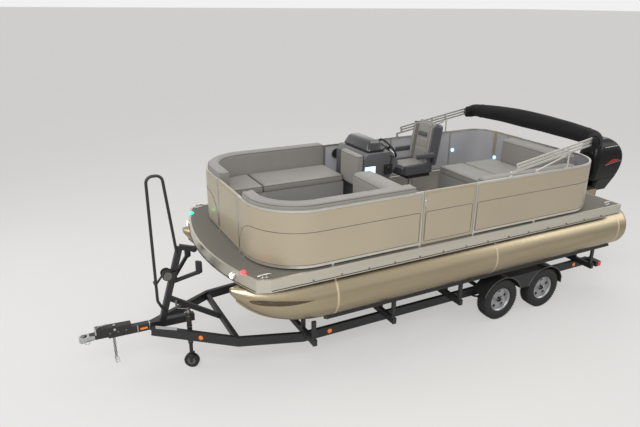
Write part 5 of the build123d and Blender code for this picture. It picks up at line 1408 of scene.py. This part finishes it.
# Columns: distance ahead of the chain's end, height
HOOK = ((-12, 246), (2, 245), (13, 232), (13, 204), (3, 188), (-14, 183), (-27, 194), (-27, 214))
LIP_R = 350
hooks, lips = Shapes(), Shapes()
for side in SIDES:
    hooks.rod([at(6900 + dx, side * 27, z) for dx, z in HOOK], 0.006)
    for axle_x in AXLES:
        arch = arc((axle_x, TYRE_R), LIP_R, 20, 160, 28)
        lips.rod([at(x, side * 1091, z) for x, z in arch], 0.005, sides=8)
    lips.block(at(741, side * 905, 330), at(746, side * 1088, 430))
hooks.piece("chain_hooks", bright_trim, "root", "zinc_steel")
lips.piece("fender_lips", zinc, "root", "zinc_steel")
for wheel, axle_x, side in WHEELS:
    drum = Shapes()
    drum.turned(at(axle_x, side * 905, TYRE_R), (0, side, 0),
                [(0, 0.12), (0.004, 0.128), (0.05, 0.128), (0.056, 0.1), (0.06, 0.05)], sides=36)
    drum.piece("brake_drum_" + wheel, iron, "wheel_" + wheel, "engine_iron")

# %% [markdown]
# ## Helm and cockpit details
# The console and its hood are mouldings, so their long edges are rounded. The dash carries round
# dials and a row of rocker switches, and a throttle lever stands beside it. Light strips glow by
# the footwell, speakers sit in the linings, and a bright rail closes the hood's foot.

# %% Console and hood with softened edges


def softened(node, width, material, shortest=0.06):
    """Copy of a CAD node with its long edges rounded, as a moulding has them."""
    work = bmesh.new()
    work.from_mesh(frame["nodes"][node].data)
    bmesh.ops.remove_doubles(work, verts=work.verts, dist=1e-5)
    bmesh.ops.dissolve_limit(work, angle_limit=radians(0.5), verts=work.verts, edges=work.edges)
    long_edges = [e for e in work.edges if len(e.link_faces) == 2 and e.calc_face_angle(0) > radians(15)
                  and e.calc_length() > shortest]
    bmesh.ops.bevel(work, geom=long_edges, offset=width, offset_type="OFFSET", segments=4, profile=0.5,
                    affect="EDGES", clamp_overlap=True)
    bmesh.ops.recalc_face_normals(work, faces=work.faces)
    mesh = bpy.data.meshes.new(node + "_shell")
    work.to_mesh(mesh)
    work.free()
    mesh.materials.append(material)
    made = riding(linked(node + "_shell", mesh), "root")
    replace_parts(made, node)
    print(made.name, len(long_edges), "edges rounded", len(mesh.polygons), "faces")


softened("console", 0.028, console_plastic)
softened("windscreen_hood", 0.045, hood_plastic)

# %% Dash and throttle
HELM_TILT = radians(35.0)
helm_out = Vector((-cos(HELM_TILT), 0, sin(HELM_TILT)))
helm_up = Vector((sin(HELM_TILT), 0, cos(HELM_TILT)))
helm_centre = at(2930, -400, 2262)
dash = helm_centre - helm_out * 0.075


def on_dash(y, up):
    """Point on the dash by its side in millimetres and its metres up the slope."""
    return Vector((dash.x, y / 1000, dash.z)) + helm_up * up


dials, dial_faces, keys = Shapes(), Shapes(), Shapes()
for y in (-590.0, -690.0):
    for up, size in ((0.02, 0.04), (-0.07, 0.028)):
        dials.turned(on_dash(y, up), helm_out,
                     [(0.0, size), (0.008, size), (0.008, size - 0.006), (0.003, size - 0.008)])
        dial_faces.turned(on_dash(y, up), helm_out, [(0.0, size - 0.008), (0.0035, size - 0.009)])
key_half = Vector((0.006, 0.008, 0.018))
for i in range(5):
    middle = on_dash(-200.0 - i * 24, -0.06)
    keys.block(middle - key_half, middle + key_half, turn=Matrix.Rotation(HELM_TILT, 3, "Y"))
dials.piece("dial_rims", bright_trim, "root", "rail_aluminium")
dial_faces.piece("dial_faces", gloss_black, "root", "motor_paint")
keys.piece("rocker_switches", black_plastic, "root", "rubber", bevel=0.001)
throttle = Shapes()
throttle.block(at(3040, -128, 1985), at(3160, -96, 2120))
throttle.turned(at(3100, -96, 2075), (0, 1, 0), [(0, 0.032), (0.014, 0.03), (0.02, 0.02)])
throttle.rod([at(3100, -82, 2075), at(3085, -76, 2180), at(3078, -70, 2235)], [0.011, 0.009, 0.009])
throttle.rod([at(3078, -98, 2240), at(3078, -42, 2240)], 0.013)
throttle.piece("throttle", black_plastic, "root", "rubber", bevel=0.004)

# %% Light strips, speakers and trims
strip = Shapes()
strip.block(at(3120, -129.8, 1560), at(3136, -126.5, 1920))
strip.block(at(3300, -129.9, 1930), at(3462, -126.5, 2110))
for place, way in (((1030.0, -1238.0, 1850.0), (0, 1, 0)), ((424.0, -862.0, 1740.0), (1, 0, 0)),
                   ((1500.0, 1083.0, 1760.0), (0, -1, 0))):
    strip.turned(at(*place), way, [(0, 0.028), (0.008, 0.028), (0.012, 0.022), (0.013, 0.004)])
strip.piece("light_strips", cool_light, "root", "lamp_clear")
door = Shapes()
door.block(at(3150, -129.9, 1600), at(3440, -125, 1900))
door.piece("console_locker_door", console_plastic, "root", "console_plastic", bevel=0.004)
speakers = Shapes()
for place, way in (((1560.0, 1081.0, 2080.0), (0, -1, 0)), ((3780.0, 298.5, 2050.0), (0, -1, 0)),
                   ((3300.0, -1233.5, 2040.0), (0, 1, 0))):
    speakers.turned(at(*place), way, [(0, 0.075), (0.006, 0.075), (0.01, 0.068), (0.004, 0.06), (0.006, 0.03),
                                      (0.01, 0.012)], sides=36)
speakers.piece("speakers", black_plastic, "root", "rubber")
hood_low, hood_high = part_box("windscreen_hood")
hood_trim = Shapes()
hood_ends = (hood_low[1] + 0.03, hood_high[1] - 0.03)
hood_trim.rod([Vector((hood_low[0] + 0.02, y, hood_low[2] + 0.012)) for y in hood_ends], 0.006)
hood_trim.piece("hood_trim", bright_trim, "root", "rail_aluminium")
spokes = Shapes()
for k in range(3):
    a = radians(90 + 120 * k)
    way = Vector((0, cos(a), 0)) + helm_up * sin(a)
    spoke = [helm_centre + way * 0.035 + helm_out * 0.008, helm_centre + way * 0.155 + helm_out * 0.004]
    spokes.rod(spoke, 0.005, flat=0.6)
spokes.turned(helm_centre + helm_out * 0.012, helm_out,
              [(0, 0.036), (0.004, 0.034), (0.008, 0.02), (0.009, 0.004)])
spokes.piece("wheel_spokes_trim", bright_trim, "helm", "rail_aluminium")
print("details done")
